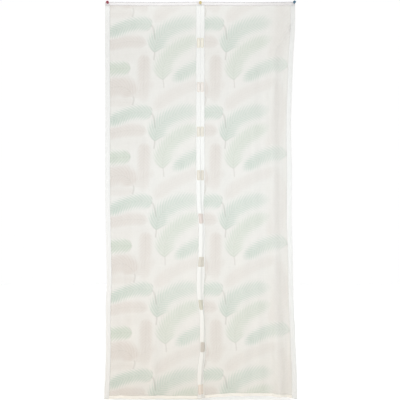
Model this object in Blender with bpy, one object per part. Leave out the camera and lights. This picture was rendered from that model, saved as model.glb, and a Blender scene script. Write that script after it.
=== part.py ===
"""A magnetic door screen: two sheer panels that hang side by side from a heading strip.

Three push pins hold the heading against a door frame. Nine pairs of magnet pockets draw the
two inner edges together. Units are metres, +Z is up, and the viewer stands at -Y. The origin
is the middle of the heading's top edge, on the back face that lies against the frame.
"""

from collections import namedtuple

import bmesh
import bpy
import numpy as np

# Driving dimensions of the flat screen
SCREEN_WIDTH = 1.000
SCREEN_HEIGHT = 2.100
HEADING_HEIGHT = 0.018
BORDER_WIDTH = 0.025
CLOSING_WIDTH = 0.022
HEM_HEIGHT = 0.016

# Thickness of the sheer, of each tape's two walls, and the space left between pieces
CLOTH = 0.0010
WALL = 0.0010
GAP = 0.0003

# Magnet pockets, which lie on the front of the closing tapes, with the middle of each pair as a distance down
MAGNET_DROPS = (0.2185, 0.4530, 0.6885, 0.9190, 1.1480, 1.3765, 1.6035, 1.8270, 2.0510)
POCKET_WIDTH = 0.017
POCKET_HEIGHT = 0.053
POCKET_INSET = -0.0005
POCKET_DEPTH = 0.0030
POCKET_CORNER = 0.004
POCKET_BEVEL = 0.0020

# Push pins: the needle enters the frame behind the heading
NEEDLE_RADIUS = 0.0006
NEEDLE_BORE = 0.00095
NEEDLE_SEAT = 0.0060
NEEDLE_POINT = 0.0070
NEEDLE_TAPER = 0.0022
PIN_SIDES = 20
NEEDLE_SIDES = 12
SHARP_ANGLE = np.radians(40)

# How the hung cloth departs from its flat size
HEADING_SAG = 0.0025
SAG_FADES_BY = 0.60
HEM_ARCH_STARTS = 1.60
FLAT_BELOW_HEADING = 0.30
CALM_BY_CLOSING_EDGE = 0.110

# How finely the cloth is divided
PANEL_COLUMNS = 22
ROWS_BETWEEN_POCKETS = 2
ROWS_ABOVE_POCKETS = 3

# Sizes that follow from the ones above
HALF_SHEER = CLOTH / 2
TAPE_INSIDE = HALF_SHEER + GAP
TAPE_OUTSIDE = TAPE_INSIDE + WALL
TAPE_REACH = GAP + WALL
MIDDLE_DEPTH = TAPE_OUTSIDE
PANEL_WIDTH = SCREEN_WIDTH / 2 - 2 * TAPE_REACH
CLOSING_LINE = CLOSING_WIDTH - TAPE_REACH
BORDER_LINE = PANEL_WIDTH - (BORDER_WIDTH - TAPE_REACH)
PANEL_TOP = TAPE_REACH
PANEL_BOTTOM = SCREEN_HEIGHT - TAPE_REACH
HEM_LINE = SCREEN_HEIGHT - HEM_HEIGHT
HEADING_FRONT = 2 * TAPE_OUTSIDE

# One fold: its middle and half width across the panel, how far its crest stands forward,
# how far it drifts outwards for each metre down, and where it begins and is full
Fold = namedtuple("Fold", "across half_width forward drift begins full")
LEFT_FOLDS = (
    Fold(0.140, 0.070, 0.0060, 0.010, 0.10, 0.80),
    Fold(0.235, 0.050, -0.0050, -0.012, 0.25, 1.10),
    Fold(0.262, 0.032, 0.0075, -0.004, 1.40, 2.05),
    Fold(0.330, 0.065, 0.0065, 0.014, 0.05, 0.60),
    Fold(0.425, 0.055, -0.0070, -0.010, 0.03, 0.30),
    Fold(0.500, 0.060, 0.0060, 0.000, 0.20, 1.30),
)
RIGHT_FOLDS = (
    Fold(0.150, 0.065, -0.0055, 0.012, 0.15, 0.90),
    Fold(0.240, 0.060, 0.0080, -0.010, 0.20, 1.00),
    Fold(0.322, 0.046, -0.0080, 0.016, 0.08, 0.50),
    Fold(0.385, 0.040, 0.0120, 0.010, 0.06, 0.45),
    Fold(0.438, 0.036, -0.0090, 0.006, 0.04, 0.40),
    Fold(0.482, 0.040, 0.0100, 0.000, 0.10, 0.50),
)

# Where the two long edges of a panel hang: a distance down, then the place across
Edge = namedtuple("Edge", "down x")
LEFT_OUTER_EDGE = (
    Edge(0.05, -0.5050),
    Edge(0.50, -0.5025),
    Edge(1.05, -0.5025),
    Edge(1.22, -0.4990),
    Edge(1.48, -0.4930),
    Edge(1.60, -0.4995),
    Edge(1.88, -0.4985),
    Edge(2.00, -0.5030),
    Edge(2.10, -0.5080),
)
RIGHT_OUTER_EDGE = (
    Edge(0.14, 0.5025),
    Edge(0.28, 0.4920),
    Edge(0.45, 0.4845),
    Edge(0.65, 0.4785),
    Edge(0.90, 0.4835),
    Edge(1.16, 0.4810),
    Edge(1.34, 0.4880),
    Edge(1.60, 0.4915),
    Edge(1.70, 0.4980),
    Edge(1.84, 0.5020),
    Edge(1.97, 0.5090),
    Edge(2.10, 0.5095),
)
LEFT_CLOSING_EDGE = (
    Edge(0.98, -0.0004),
    Edge(1.09, 0.0020),
    Edge(1.16, 0.0120),
    Edge(1.35, 0.0120),
    Edge(1.42, 0.0020),
    Edge(1.55, 0.0020),
    Edge(1.66, 0.0190),
    Edge(1.87, 0.0190),
    Edge(1.94, 0.0060),
    Edge(2.10, 0.0070),
)
RIGHT_CLOSING_EDGE = (
    Edge(0.98, 0.0004),
    Edge(1.08, -0.0070),
    Edge(1.20, 0.0015),
    Edge(1.46, 0.0010),
    Edge(1.54, -0.0065),
    Edge(1.68, -0.0020),
    Edge(1.87, 0.0080),
    Edge(1.94, -0.0080),
    Edge(2.02, -0.0040),
    Edge(2.10, 0.0010),
)

# How far in front of the frame the cloth hangs: a distance down, then the depth
Depth = namedtuple("Depth", "down depth")
BODY_DEPTH = (
    Depth(0.02, MIDDLE_DEPTH),
    Depth(0.20, 0.0090),
    Depth(0.80, 0.0130),
    Depth(2.10, 0.0150),
)
LEFT_CLOSING_DEPTH = (
    Depth(0.02, MIDDLE_DEPTH),
    Depth(0.20, 0.0090),
    Depth(0.78, 0.0120),
    Depth(0.93, 0.0170),
    Depth(2.10, 0.0180),
)
RIGHT_CLOSING_DEPTH = (
    Depth(0.02, MIDDLE_DEPTH),
    Depth(0.20, 0.0090),
    Depth(0.78, 0.0110),
    Depth(0.93, 0.0080),
    Depth(2.10, 0.0085),
)

# A hanging panel: which way is outwards along X, the pin through its outer corner, its edges,
# its depth by the closing edge, its folds, and how far the middle of its hem rides up
Panel = namedtuple("Panel", "outwards corner_pin outer_edge closing_edge closing_depth folds hem_arch")
PANELS = {
    "left": Panel(-1, "red", LEFT_OUTER_EDGE, LEFT_CLOSING_EDGE, LEFT_CLOSING_DEPTH, LEFT_FOLDS, 0.0010),
    "right": Panel(1, "blue", RIGHT_OUTER_EDGE, RIGHT_CLOSING_EDGE, RIGHT_CLOSING_DEPTH, RIGHT_FOLDS, 0.0150),
}

# A push pin: its place across the heading, its distance down from the top edge, and its colour
Pin = namedtuple("Pin", "x drop colour")
PINS = {
    "red": Pin(-0.4915, 0.0042, (0.62, 0.03, 0.05)),
    "yellow": Pin(0.0, 0.0060, (0.85, 0.55, 0.02)),
    "blue": Pin(0.4975, 0.0030, (0.02, 0.12, 0.55)),
}

# A pin head's profile: height above the heading's face, then radius
Ring = namedtuple("Ring", "height radius")
PIN_HEAD_PROFILE = (
    Ring(0.0000, 0.0062),
    Ring(0.0005, 0.0070),
    Ring(0.0014, 0.0070),
    Ring(0.0020, 0.0060),
    Ring(0.0028, 0.0040),
    Ring(0.0078, 0.0045),
    Ring(0.0102, 0.0060),
    Ring(0.0118, 0.0074),
    Ring(0.0134, 0.0076),
    Ring(0.0144, 0.0066),
)


def clear_scene():
    """Remove every object that is already in the file."""
    for obj in list(bpy.data.objects):
        bpy.data.objects.remove(obj, do_unlink=True)


def material(name, colour, roughness, metallic=0.0):
    """Return a Principled material with the given linear colour."""
    made = bpy.data.materials.new(name)
    made.use_nodes = True
    shader = made.node_tree.nodes["Principled BSDF"]
    shader.inputs["Base Color"].default_value = (*colour, 1.0)
    shader.inputs["Roughness"].default_value = roughness
    shader.inputs["Metallic"].default_value = metallic
    made.diffuse_color = (*colour, 1.0)
    return made


def ease(start, end, value):
    """Rise smoothly from 0 at start to 1 at end."""
    t = np.clip((value - start) / (end - start), 0.0, 1.0)
    return t * t * (3.0 - 2.0 * t)


def read_table(table, down, spread=0.04):
    """Read a table at some distances down, as the mean of five readings so that no corner stays sharp."""
    downs = [row[0] for row in table]
    values = [row[1] for row in table]
    return sum(np.interp(down + shift, downs, values) for shift in np.linspace(-spread, spread, 5)) / 5


def heading_sag(x):
    """Drop of the heading between two pins: a shallow arc that is nil at each pin."""
    nearest = np.clip(np.abs(x) / PINS["blue"].x, 0.0, 1.0)
    return HEADING_SAG * 4.0 * nearest * (1.0 - nearest)


def fold_depth(folds, across, down):
    """Forward reach of all folds together, each a smooth ridge or trough that runs down the cloth."""
    total = np.zeros(np.broadcast(across, down).shape)
    for fold in folds:
        middle = fold.across + fold.drift * down
        offset = np.clip(np.abs(across - middle) / fold.half_width, 0.0, 1.0)
        ridge = np.cos(offset * np.pi / 2) ** 2
        total += fold.forward * ridge * ease(fold.begins, fold.full, down)
    return total


def hung_point(panel, across, down):
    """Place of a point of the cloth's middle surface, across from the closing edge and down from the top."""
    closing = read_table(panel.closing_edge, down) + panel.outwards * (TAPE_REACH + across)
    outer = read_table(panel.outer_edge, down) - panel.outwards * (TAPE_REACH + PANEL_WIDTH - across)
    share = np.clip((across - CLOSING_LINE) / (BORDER_LINE - CLOSING_LINE), 0.0, 1.0)
    x = closing + (outer - closing) * share

    by_edge = 1.0 - ease(CLOSING_LINE, CALM_BY_CLOSING_EDGE, across)
    depth = read_table(BODY_DEPTH, down) * (1.0 - by_edge)
    depth = depth + read_table(panel.closing_depth, down) * by_edge
    depth = depth + fold_depth(panel.folds, across, down) * (1.0 - by_edge)
    free = ease(HEADING_HEIGHT, FLAT_BELOW_HEADING, down)
    y = -(MIDDLE_DEPTH + (depth - MIDDLE_DEPTH) * free)

    sag = heading_sag(x) * (1.0 - ease(HEADING_HEIGHT, SAG_FADES_BY, down))
    middle = np.clip(across / PANEL_WIDTH, 0.0, 1.0)
    arch = panel.hem_arch * 4.0 * middle * (1.0 - middle) * ease(HEM_ARCH_STARTS, SCREEN_HEIGHT, down)
    z = -down - sag + arch
    return np.stack(np.broadcast_arrays(x, y, z), axis=-1)


def unit(vectors):
    """Scale vectors to length 1."""
    return vectors / np.linalg.norm(vectors, axis=-1, keepdims=True)


def hung_frame(panel, across, down, step=0.001):
    """Return points of the hung cloth, their forward normals, and the outward and downward directions."""
    across = np.asarray(across, float)
    down = np.asarray(down, float)
    point = hung_point(panel, across, down)
    outward = hung_point(panel, across + step, down) - hung_point(panel, across - step, down)
    downward = hung_point(panel, across, down + step) - hung_point(panel, across, down - step)
    normal = unit(np.cross(outward, downward)) * panel.outwards
    normal = normal * np.where(normal[..., 1:2] > 0, -1.0, 1.0)
    return point, normal, unit(outward), unit(downward)


def panel_columns():
    """Distances across a panel: its two edges, its two tape lines, and even steps between them."""
    middle = np.linspace(CLOSING_LINE, BORDER_LINE, PANEL_COLUMNS + 1)
    return np.concatenate([[0.0], middle, [PANEL_WIDTH]])


def pocket_rows():
    """Top and bottom of each magnet pocket, as distances down."""
    return [(middle - POCKET_HEIGHT / 2, middle + POCKET_HEIGHT / 2) for middle in MAGNET_DROPS]


def panel_rows():
    """Distances down a panel, with a row at each pocket's top and bottom so that no piece spans a bend."""
    rows = [PANEL_TOP]
    last = HEADING_HEIGHT
    for top, bottom in pocket_rows():
        steps = ROWS_ABOVE_POCKETS if last < MAGNET_DROPS[1] else ROWS_BETWEEN_POCKETS
        rows.extend(np.linspace(last, top, steps + 1))
        last = bottom
    rows.extend([last, HEM_LINE, PANEL_BOTTOM])
    return np.array(rows)


def split_lattice(rows, columns, ring, leaning):
    """Split a lattice of quads into triangles. leaning says for each column which diagonal is used."""
    faces = []
    for row in range(rows - 1):
        for column in range(columns if ring else columns - 1):
            across = (column + 1) % columns
            a = row * columns + column
            b = row * columns + across
            c = (row + 1) * columns + across
            d = (row + 1) * columns + column
            faces.extend([(a, b, c), (a, c, d)] if leaning[column] else [(a, b, d), (b, c, d)])
    return faces


def add_solid(name, points, faces, surface):
    """Add a closed mesh as an object, with its faces turned outwards."""
    mesh = bpy.data.meshes.new(name)
    mesh.from_pydata([tuple(point) for point in points], [], faces)
    shaped = bmesh.new()
    shaped.from_mesh(mesh)
    bmesh.ops.recalc_face_normals(shaped, faces=shaped.faces)
    shaped.to_mesh(mesh)
    shaped.free()
    mesh.materials.append(surface)
    obj = bpy.data.objects.new(name, mesh)
    bpy.context.scene.collection.objects.link(obj)
    return obj


def add_panel(name, panel, surface):
    """Add a hanging panel of sheer: a front and a back lattice joined around the rim."""
    across, down = np.meshgrid(panel_columns(), panel_rows())
    point, normal, _, _ = hung_frame(panel, across, down)
    rows, columns = across.shape
    front = (point + normal * HALF_SHEER).reshape(-1, 3)
    back = (point - normal * HALF_SHEER).reshape(-1, 3)
    sheet = split_lattice(rows, columns, False, [True] * columns)
    count = rows * columns
    faces = sheet + [tuple(corner + count for corner in reversed(face)) for face in sheet]
    lattice = np.arange(count).reshape(rows, columns)
    rim = np.concatenate([lattice[0, :-1], lattice[:-1, -1], lattice[-1, :0:-1], lattice[:0:-1, 0]])
    for here, there in zip(rim, np.roll(rim, -1)):
        faces.append((int(here), int(there), int(there) + count, int(here) + count))
    return add_solid(name, np.concatenate([front, back]), faces, surface)


def add_folded_strip(name, edge, edge_normal, tip, tip_normal, outward, edge_first, surface):
    """Add a strip folded over a cloth edge, as a U-shaped section carried along that edge.

    edge and tip are the cloth's points under the fold and under the ends of the two walls.
    edge_first picks the diagonal that the cloth between the walls has, so that the gap stays even.
    """
    section = [
        tip + tip_normal * TAPE_OUTSIDE,
        edge + outward * TAPE_REACH + edge_normal * TAPE_OUTSIDE,
        edge + outward * TAPE_REACH - edge_normal * TAPE_OUTSIDE,
        tip - tip_normal * TAPE_OUTSIDE,
        tip - tip_normal * TAPE_INSIDE,
        edge + outward * GAP - edge_normal * TAPE_INSIDE,
        edge + outward * GAP + edge_normal * TAPE_INSIDE,
        tip + tip_normal * TAPE_INSIDE,
    ]
    corners = len(section)
    stations = len(edge)
    points = np.stack(section, axis=1).reshape(-1, 3)
    runs_to_edge = (True, True, False, False, True, True, False, False)
    leaning = [flag != edge_first for flag in runs_to_edge]
    faces = split_lattice(stations, corners, True, leaning)
    last = (stations - 1) * corners
    for start in (0, last):
        for a, b, c, d in ((0, 1, 6, 7), (1, 2, 5, 6), (2, 3, 4, 5)):
            faces.append((start + a, start + b, start + c, start + d))
    return add_solid(name, points, faces, surface)


def add_side_tape(name, panel, edge_across, tip_across, down, surface):
    """Add a tape folded over a long edge of a panel."""
    edge, edge_normal, outward, _ = hung_frame(panel, np.full(down.shape, edge_across), down)
    tip, tip_normal, _, _ = hung_frame(panel, np.full(down.shape, tip_across), down)
    away = outward if edge_across > tip_across else -outward
    closing = edge_across < tip_across
    return add_folded_strip(name, edge, edge_normal, tip, tip_normal, away, closing, surface)


def add_hem_binding(name, panel, surface):
    """Add the strip folded over a panel's bottom edge, between its two tapes."""
    across = panel_columns()[1:-1].copy()
    across[0] += GAP
    across[-1] -= GAP
    edge, edge_normal, _, downward = hung_frame(panel, across, np.full(across.shape, PANEL_BOTTOM))
    tip, tip_normal, _, _ = hung_frame(panel, across, np.full(across.shape, HEM_LINE))
    return add_folded_strip(name, edge, edge_normal, tip, tip_normal, downward, False, surface)


def add_heading(surface):
    """Add the one strip folded over the top edges of both panels, with its ends at the outer edges."""
    edges = [hung_point(PANELS[side], panel_columns(), PANEL_TOP) for side in ("left", "right")]
    ends = [read_table(PANELS[side].outer_edge, 0.0) for side in ("left", "right")]
    x = np.concatenate([[ends[0]], edges[0][::-1, 0], edges[1][:, 0], [ends[1]]])
    edge = np.stack([x, np.full(x.shape, -MIDDLE_DEPTH), -PANEL_TOP - heading_sag(x)], axis=1)
    tip = edge.copy()
    tip[:, 2] = -HEADING_HEIGHT - heading_sag(x)
    forward = np.tile([0.0, -1.0, 0.0], (len(x), 1))
    upward = np.tile([0.0, 0.0, 1.0], (len(x), 1))
    return add_folded_strip("heading", edge, forward, tip, forward, upward, False, surface)


def rounded_rectangle(width, height, corner):
    """Return points around a rectangle with rounded corners, each as fractions across and down."""
    points = []
    for side_x, side_y, start in ((1, 1, 0.0), (-1, 1, 0.5), (-1, -1, 1.0), (1, -1, 1.5)):
        for turn in (0.0, 0.25, 0.5):
            angle = (start + turn) * np.pi
            x = side_x * (width / 2 - corner) + corner * np.cos(angle)
            y = side_y * (height / 2 - corner) + corner * np.sin(angle)
            points.append((x / width + 0.5, y / height + 0.5))
    return np.array(points)


def add_pocket(name, panel, top, bottom, surface):
    """Add a magnet pocket: a flat cushion on the front wall of the closing tape."""
    far = POCKET_INSET + POCKET_WIDTH
    across = np.array([POCKET_INSET, far, POCKET_INSET, far])
    down = np.array([top, top, bottom, bottom])
    point, normal, _, _ = hung_frame(panel, across, down)
    rings = []
    for height, inset in ((0.0, 0.0), (POCKET_DEPTH - POCKET_BEVEL, 0.0), (POCKET_DEPTH, POCKET_BEVEL)):
        share = rounded_rectangle(POCKET_WIDTH, POCKET_HEIGHT, POCKET_CORNER)
        size = np.array([POCKET_WIDTH, POCKET_HEIGHT])
        share = 0.5 + (share - 0.5) * (size - 2 * inset) / size
        corners = point + normal * (TAPE_OUTSIDE + GAP + height)
        upper = corners[0] + (corners[1] - corners[0]) * share[:, :1]
        lower = corners[2] + (corners[3] - corners[2]) * share[:, :1]
        rings.append(upper + (lower - upper) * share[:, 1:])
    count = len(rings[0])
    faces = split_lattice(len(rings), count, True, [True] * count)
    faces.append(tuple(range(count)))
    faces.append(tuple(range(2 * count, 3 * count)))
    return add_solid(name, np.concatenate(rings), faces, surface)


def turned(name, profile, sides, place, surface):
    """Add a closed turned piece whose axis runs forward, from (height, radius) points of its profile."""
    points = []
    starts = []
    for height, radius in profile:
        starts.append(len(points))
        if radius == 0.0:
            points.append((0.0, -height, 0.0))
            continue
        for angle in (np.arange(sides) + 0.5) * 2 * np.pi / sides:
            points.append((radius * np.cos(angle), -height, radius * np.sin(angle)))
    faces = []
    for index in range(len(profile) - 1):
        here, there = starts[index], starts[index + 1]
        for side in range(sides):
            after = (side + 1) % sides
            if profile[index][1] == 0.0:
                faces.append((here, there + side, there + after))
            elif profile[index + 1][1] == 0.0:
                faces.append((here + side, here + after, there))
            else:
                faces.append((here + side, here + after, there + after, there + side))
    obj = add_solid(name, points, faces, surface)
    obj.location = place
    obj.data.shade_smooth()
    obj.data.set_sharp_from_angle(angle=SHARP_ANGLE)
    return obj


def add_pin(name, pin, plastic, steel):
    """Add a push pin: a plastic head with a blind bore, and the steel needle that sits in it."""
    place = (pin.x, -(HEADING_FRONT + GAP), -pin.drop)
    bore = [(NEEDLE_SEAT + GAP, 0.0), (NEEDLE_SEAT + GAP, NEEDLE_BORE), (0.0, NEEDLE_BORE)]
    head = [tuple(ring) for ring in PIN_HEAD_PROFILE]
    turned(f"{name}_pin_head", bore + head + [(head[-1][0], 0.0)], PIN_SIDES, place, plastic)

    point = HEADING_FRONT + GAP + NEEDLE_POINT
    needle = [(-point, 0.0), (NEEDLE_TAPER - point, NEEDLE_RADIUS)]
    needle += [(NEEDLE_SEAT, NEEDLE_RADIUS), (NEEDLE_SEAT, 0.0)]
    turned(f"{name}_pin_needle", needle, NEEDLE_SIDES, place, steel)


def pierce(obj, pin):
    """Cut the hole that a pin's needle makes through a piece."""
    reach = 4 * HEADING_FRONT
    profile = [(-reach, 0.0), (-reach, NEEDLE_BORE), (reach, NEEDLE_BORE), (reach, 0.0)]
    cutter = turned(f"{obj.name}_needle_hole", profile, NEEDLE_SIDES, (pin.x, 0.0, -pin.drop), None)
    cutter.hide_render = True
    cutter.display_type = "WIRE"
    cut = obj.modifiers.new("needle_hole", "BOOLEAN")
    cut.operation = "DIFFERENCE"
    cut.solver = "EXACT"
    cut.object = cutter


def main():
    """Build every piece of the screen."""
    clear_scene()
    sheer = material("printed_sheer", (0.83, 0.84, 0.80), 0.80)
    tape = material("white_tape", (0.90, 0.90, 0.91), 0.75)
    pocket = material("magnet_pocket", (0.78, 0.74, 0.60), 0.80)
    steel = material("pin_steel", (0.62, 0.62, 0.64), 0.30, metallic=1.0)

    rows = panel_rows()
    tape_rows = np.concatenate([[HEADING_HEIGHT + GAP], rows[2:-1], [SCREEN_HEIGHT]])
    heading = add_heading(tape)
    for side, panel in PANELS.items():
        cloth = add_panel(f"{side}_panel", panel, sheer)
        pierce(cloth, PINS[panel.corner_pin])
        add_side_tape(f"{side}_border", panel, PANEL_WIDTH, BORDER_LINE, tape_rows, tape)
        add_side_tape(f"{side}_closing_tape", panel, 0.0, CLOSING_LINE, tape_rows, tape)
        add_hem_binding(f"{side}_hem_binding", panel, tape)
        for number, (top, bottom) in enumerate(pocket_rows(), start=1):
            add_pocket(f"{side}_magnet_{number}", panel, top, bottom, pocket)

    for name, pin in PINS.items():
        plastic = material(f"pin_{name}", pin.colour, 0.25)
        add_pin(name, pin, plastic, steel)
        pierce(heading, pin)


main()
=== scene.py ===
# %% [markdown]
# # A magnetic door screen, dressed
#
# A magnetic door screen is a curtain for a doorway. Two printed sheer panels hang side by side
# from a heading strip, and small magnets in sewn pockets close them again behind whoever walks
# through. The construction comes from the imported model. This lesson gives it cloth, thread,
# plastic and steel. Every step first says what the real piece is, then makes it.

# %% Load the frame
from collections import namedtuple

import bpy
import numpy as np
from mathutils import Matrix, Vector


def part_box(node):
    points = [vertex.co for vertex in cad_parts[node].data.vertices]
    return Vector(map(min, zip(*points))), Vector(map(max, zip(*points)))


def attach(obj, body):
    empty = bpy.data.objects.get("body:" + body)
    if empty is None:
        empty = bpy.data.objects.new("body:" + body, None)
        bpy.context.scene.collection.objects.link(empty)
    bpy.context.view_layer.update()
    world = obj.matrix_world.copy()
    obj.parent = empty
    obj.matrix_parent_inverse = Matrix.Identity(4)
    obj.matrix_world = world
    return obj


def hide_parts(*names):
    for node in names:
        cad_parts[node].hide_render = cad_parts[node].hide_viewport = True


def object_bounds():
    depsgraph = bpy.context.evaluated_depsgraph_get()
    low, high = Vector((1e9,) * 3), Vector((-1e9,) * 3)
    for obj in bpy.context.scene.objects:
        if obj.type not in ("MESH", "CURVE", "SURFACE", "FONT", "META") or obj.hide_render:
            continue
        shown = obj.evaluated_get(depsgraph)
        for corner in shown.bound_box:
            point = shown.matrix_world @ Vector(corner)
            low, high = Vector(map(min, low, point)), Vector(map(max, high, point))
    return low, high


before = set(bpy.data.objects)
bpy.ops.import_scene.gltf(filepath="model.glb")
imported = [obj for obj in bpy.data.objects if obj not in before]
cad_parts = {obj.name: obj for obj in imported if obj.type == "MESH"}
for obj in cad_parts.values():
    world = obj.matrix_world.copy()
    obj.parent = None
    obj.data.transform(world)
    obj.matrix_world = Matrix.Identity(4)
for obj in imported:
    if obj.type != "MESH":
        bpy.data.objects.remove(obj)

cad_low, cad_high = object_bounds()
print("model box in metres:", [round(v, 3) for v in cad_low], [round(v, 3) for v in cad_high])

# %% [markdown]
# ## Camera
#
# The photograph was taken square on, from far enough away that the long edges look parallel.
# A long lens five metres off gives the same calm perspective. The picture is square, and the
# screen's 2.1 m of height fill all but a sliver of it, so one number sets the distance: how
# much of the hanging cloth's plane the picture covers.

# %% Place the camera
PICTURE_PIXELS = 400
PICTURE_HEIGHT = 2.116
PICTURE_CENTRE = (-0.002, -0.010, -1.050)
LENS_MM = 85.0
SENSOR_MM = 36.0

camera_data = bpy.data.cameras.new("camera")
camera_data.lens = LENS_MM
camera_data.sensor_width = SENSOR_MM
camera = bpy.data.objects.new("camera", camera_data)
bpy.context.scene.collection.objects.link(camera)
camera_distance = PICTURE_HEIGHT * LENS_MM / SENSOR_MM
camera.location = (PICTURE_CENTRE[0], PICTURE_CENTRE[1] - camera_distance, PICTURE_CENTRE[2])
camera.rotation_euler = (np.pi / 2, 0.0, 0.0)
bpy.context.scene.camera = camera
print(f"camera {camera_distance:.2f} m away, {1000 * PICTURE_HEIGHT / PICTURE_PIXELS:.2f} mm a pixel")

# %% [markdown]
# ## Colours and shader nodes
#
# Paint and cloth colours are easiest to name as the hex values that a colour picker shows.
# Blender's shaders calculate with linear light, so one function turns hex into linear. A
# second function adds any shader node, with its settings and links, which keeps every material
# below short enough to read. A third starts an empty material.


# %% Define the helpers for materials
def linear(hex_colour):
    """Turn sRGB hex into linear RGBA.

    A channel c up to 0.04045 is divided by 12.92. A brighter one becomes ((c + 0.055) / 1.055) to
    the power 2.4.
    """
    channels = np.array([int(hex_colour[i:i + 2], 16) / 255 for i in (1, 3, 5)])
    light = np.where(channels <= 0.04045, channels / 12.92, ((channels + 0.055) / 1.055) ** 2.4)
    return (*light.tolist(), 1.0)


def add_node(tree, kind, inputs=None, **settings):
    """Add a shader node with its settings, and fill its inputs with values or with links.

    An input goes by its name, or by its number where a node has several of the same name.
    """
    made = tree.nodes.new(kind)
    for name, value in settings.items():
        setattr(made, name, value)
    for name, value in (inputs or {}).items():
        if isinstance(value, bpy.types.NodeSocket):
            tree.links.new(value, made.inputs[name])
        else:
            made.inputs[name].default_value = value
    return made


def start_material(name):
    """Make an empty material and return it with its node tree."""
    made = bpy.data.materials.new(name)
    made.use_nodes = True
    made.node_tree.nodes.clear()
    return made, made.node_tree


print("white cloth in linear light:", [round(v, 3) for v in linear("#F5F5F6")[:3]])

# %% [markdown]
# ## Light and floor
#
# The picture was lit for a catalogue: the background is pure white and the cloth glows, with
# hardly a shadow. A white world gives that even glow, and a white floor melts into it. Soft
# lights add what little direction there is. A wide, cool one stands in front of the middle, so
# the cloth is brightest there. One comes from far to the left and grazes the cloth, because
# light along a surface shows its folds best. Three small ones only touch the edges: a strip
# over the heading, a warm glow at the lower left and a white one at the right hem.

# %% Make the white world
WORLD_STRENGTH = 1.005

world = bpy.data.worlds.new("white_studio")
bpy.context.scene.world = world
world.use_nodes = True
world.node_tree.nodes.clear()
glow = {"Color": linear("#FFFFFF"), "Strength": WORLD_STRENGTH}
sky = add_node(world.node_tree, "ShaderNodeBackground", glow)
add_node(world.node_tree, "ShaderNodeOutputWorld", {"Surface": sky.outputs[0]})
print("the world glows at strength", WORLD_STRENGTH)

# %% Place the soft lights
# A soft light: its place, the point it faces, its width and height, its power in watts and its colour
SoftLight = namedtuple("SoftLight", "name place target size power colour")
SOFT_LIGHTS = (
    SoftLight("cool", (0.1, -1.2, -1.00), (0.05, 0.0, -1.05), (2.4, 1.1), 9.0, (0.82, 0.92, 1.0)),
    SoftLight("top", (-0.14, -0.10, 0.09), (-0.14, 0.0, -0.05), (0.9, 0.05), 0.26, (0.88, 0.95, 1.0)),
    SoftLight("side", (-9.0, -3.2, -0.2), (0.0, 0.0, -1.0), (2.0, 2.4), 60.0, (1.0, 1.0, 1.0)),
    SoftLight("low", (-0.7, -1.0, -1.9), (-0.4, 0.0, -1.85), (0.5, 0.5), 0.70, (1.0, 0.48, 0.10)),
    SoftLight("hem", (0.27, -0.30, -2.02), (0.25, 0.0, -2.09), (0.5, 0.1), 0.04, (0.92, 0.97, 1.0)),
)
for spec in SOFT_LIGHTS:
    data = bpy.data.lights.new(spec.name, "AREA")
    data.shape = "RECTANGLE"
    data.size, data.size_y = spec.size
    data.energy = spec.power
    data.color = spec.colour
    lamp = bpy.data.objects.new(spec.name, data)
    bpy.context.scene.collection.objects.link(lamp)
    lamp.location = spec.place
    aim = np.subtract(spec.target, spec.place)
    tilt = np.arctan2(np.hypot(aim[0], aim[1]), -aim[2])
    lamp.rotation_euler = (tilt, 0.0, np.arctan2(-aim[0], aim[1]))
    # Straight ahead a soft light gives power / (pi distance squared), where a white world gives pi
    distance = np.linalg.norm(aim)
    added = spec.power / (np.pi * distance) ** 2
    print(f"{spec.name} light, {distance:.1f} m off, adds up to {100 * added:.0f}% to the world's light")

# %% Lay the floor
FLOOR_DROP = 0.018
FLOOR_HALF_SIZE = 7.0
FLOOR_CORNERS = ((-1, -1), (1, -1), (1, 1), (-1, 1))

floor_level = cad_low[2] - FLOOR_DROP
corners = [(x * FLOOR_HALF_SIZE, y * FLOOR_HALF_SIZE, floor_level) for x, y in FLOOR_CORNERS]
floor_mesh = bpy.data.meshes.new("floor")
floor_mesh.from_pydata(corners, [], [(0, 1, 2, 3)])
floor = bpy.data.objects.new("floor", floor_mesh)
bpy.context.scene.collection.objects.link(floor)
floor_paint, tree = start_material("matte white floor paint")
paint = add_node(tree, "ShaderNodeBsdfDiffuse", {"Color": linear("#FFFFFF"), "Roughness": 1.0})
add_node(tree, "ShaderNodeOutputMaterial", {"Surface": paint.outputs[0]})
floor_mesh.materials.append(floor_paint)
bpy.context.scene.view_settings.view_transform = "Standard"
print(f"the floor lies {1000 * FLOOR_DROP:.0f} mm below the lowest hem")

# %% [markdown]
# ## How the cloth hangs
#
# The model's panels follow one rule, and the visible cloth has to lie on the same folds. A
# panel is a rectangle of cloth with two coordinates: across, measured from the edge that closes
# on the other panel, and down, measured from the top edge. Short tables say where the two long
# edges hang, how deep the cloth hangs in front of the door frame, and where each fold runs.
# The function below turns across and down into a place in the room, for whole arrays at once.

# %% Sizes of the screen in metres
SCREEN_WIDTH = 1.000
SCREEN_HEIGHT = 2.100
HEADING_HEIGHT = 0.018
BORDER_WIDTH = 0.025
CLOSING_WIDTH = 0.022
HEM_HEIGHT = 0.016
# GAP is left between pieces that touch. A tape's inner and outer walls stand this far off the
# middle of the cloth, and its fold reaches this far beyond the cloth's edge.
GAP = 0.0003
TAPE_INSIDE = 0.0008
TAPE_OUTSIDE = 0.0018
TAPE_REACH = 0.0013
MIDDLE_DEPTH = TAPE_OUTSIDE
PANEL_WIDTH = SCREEN_WIDTH / 2 - 2 * TAPE_REACH
CLOSING_LINE = CLOSING_WIDTH - TAPE_REACH
BORDER_LINE = PANEL_WIDTH - (BORDER_WIDTH - TAPE_REACH)
PANEL_TOP = TAPE_REACH
PANEL_BOTTOM = SCREEN_HEIGHT - TAPE_REACH
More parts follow.
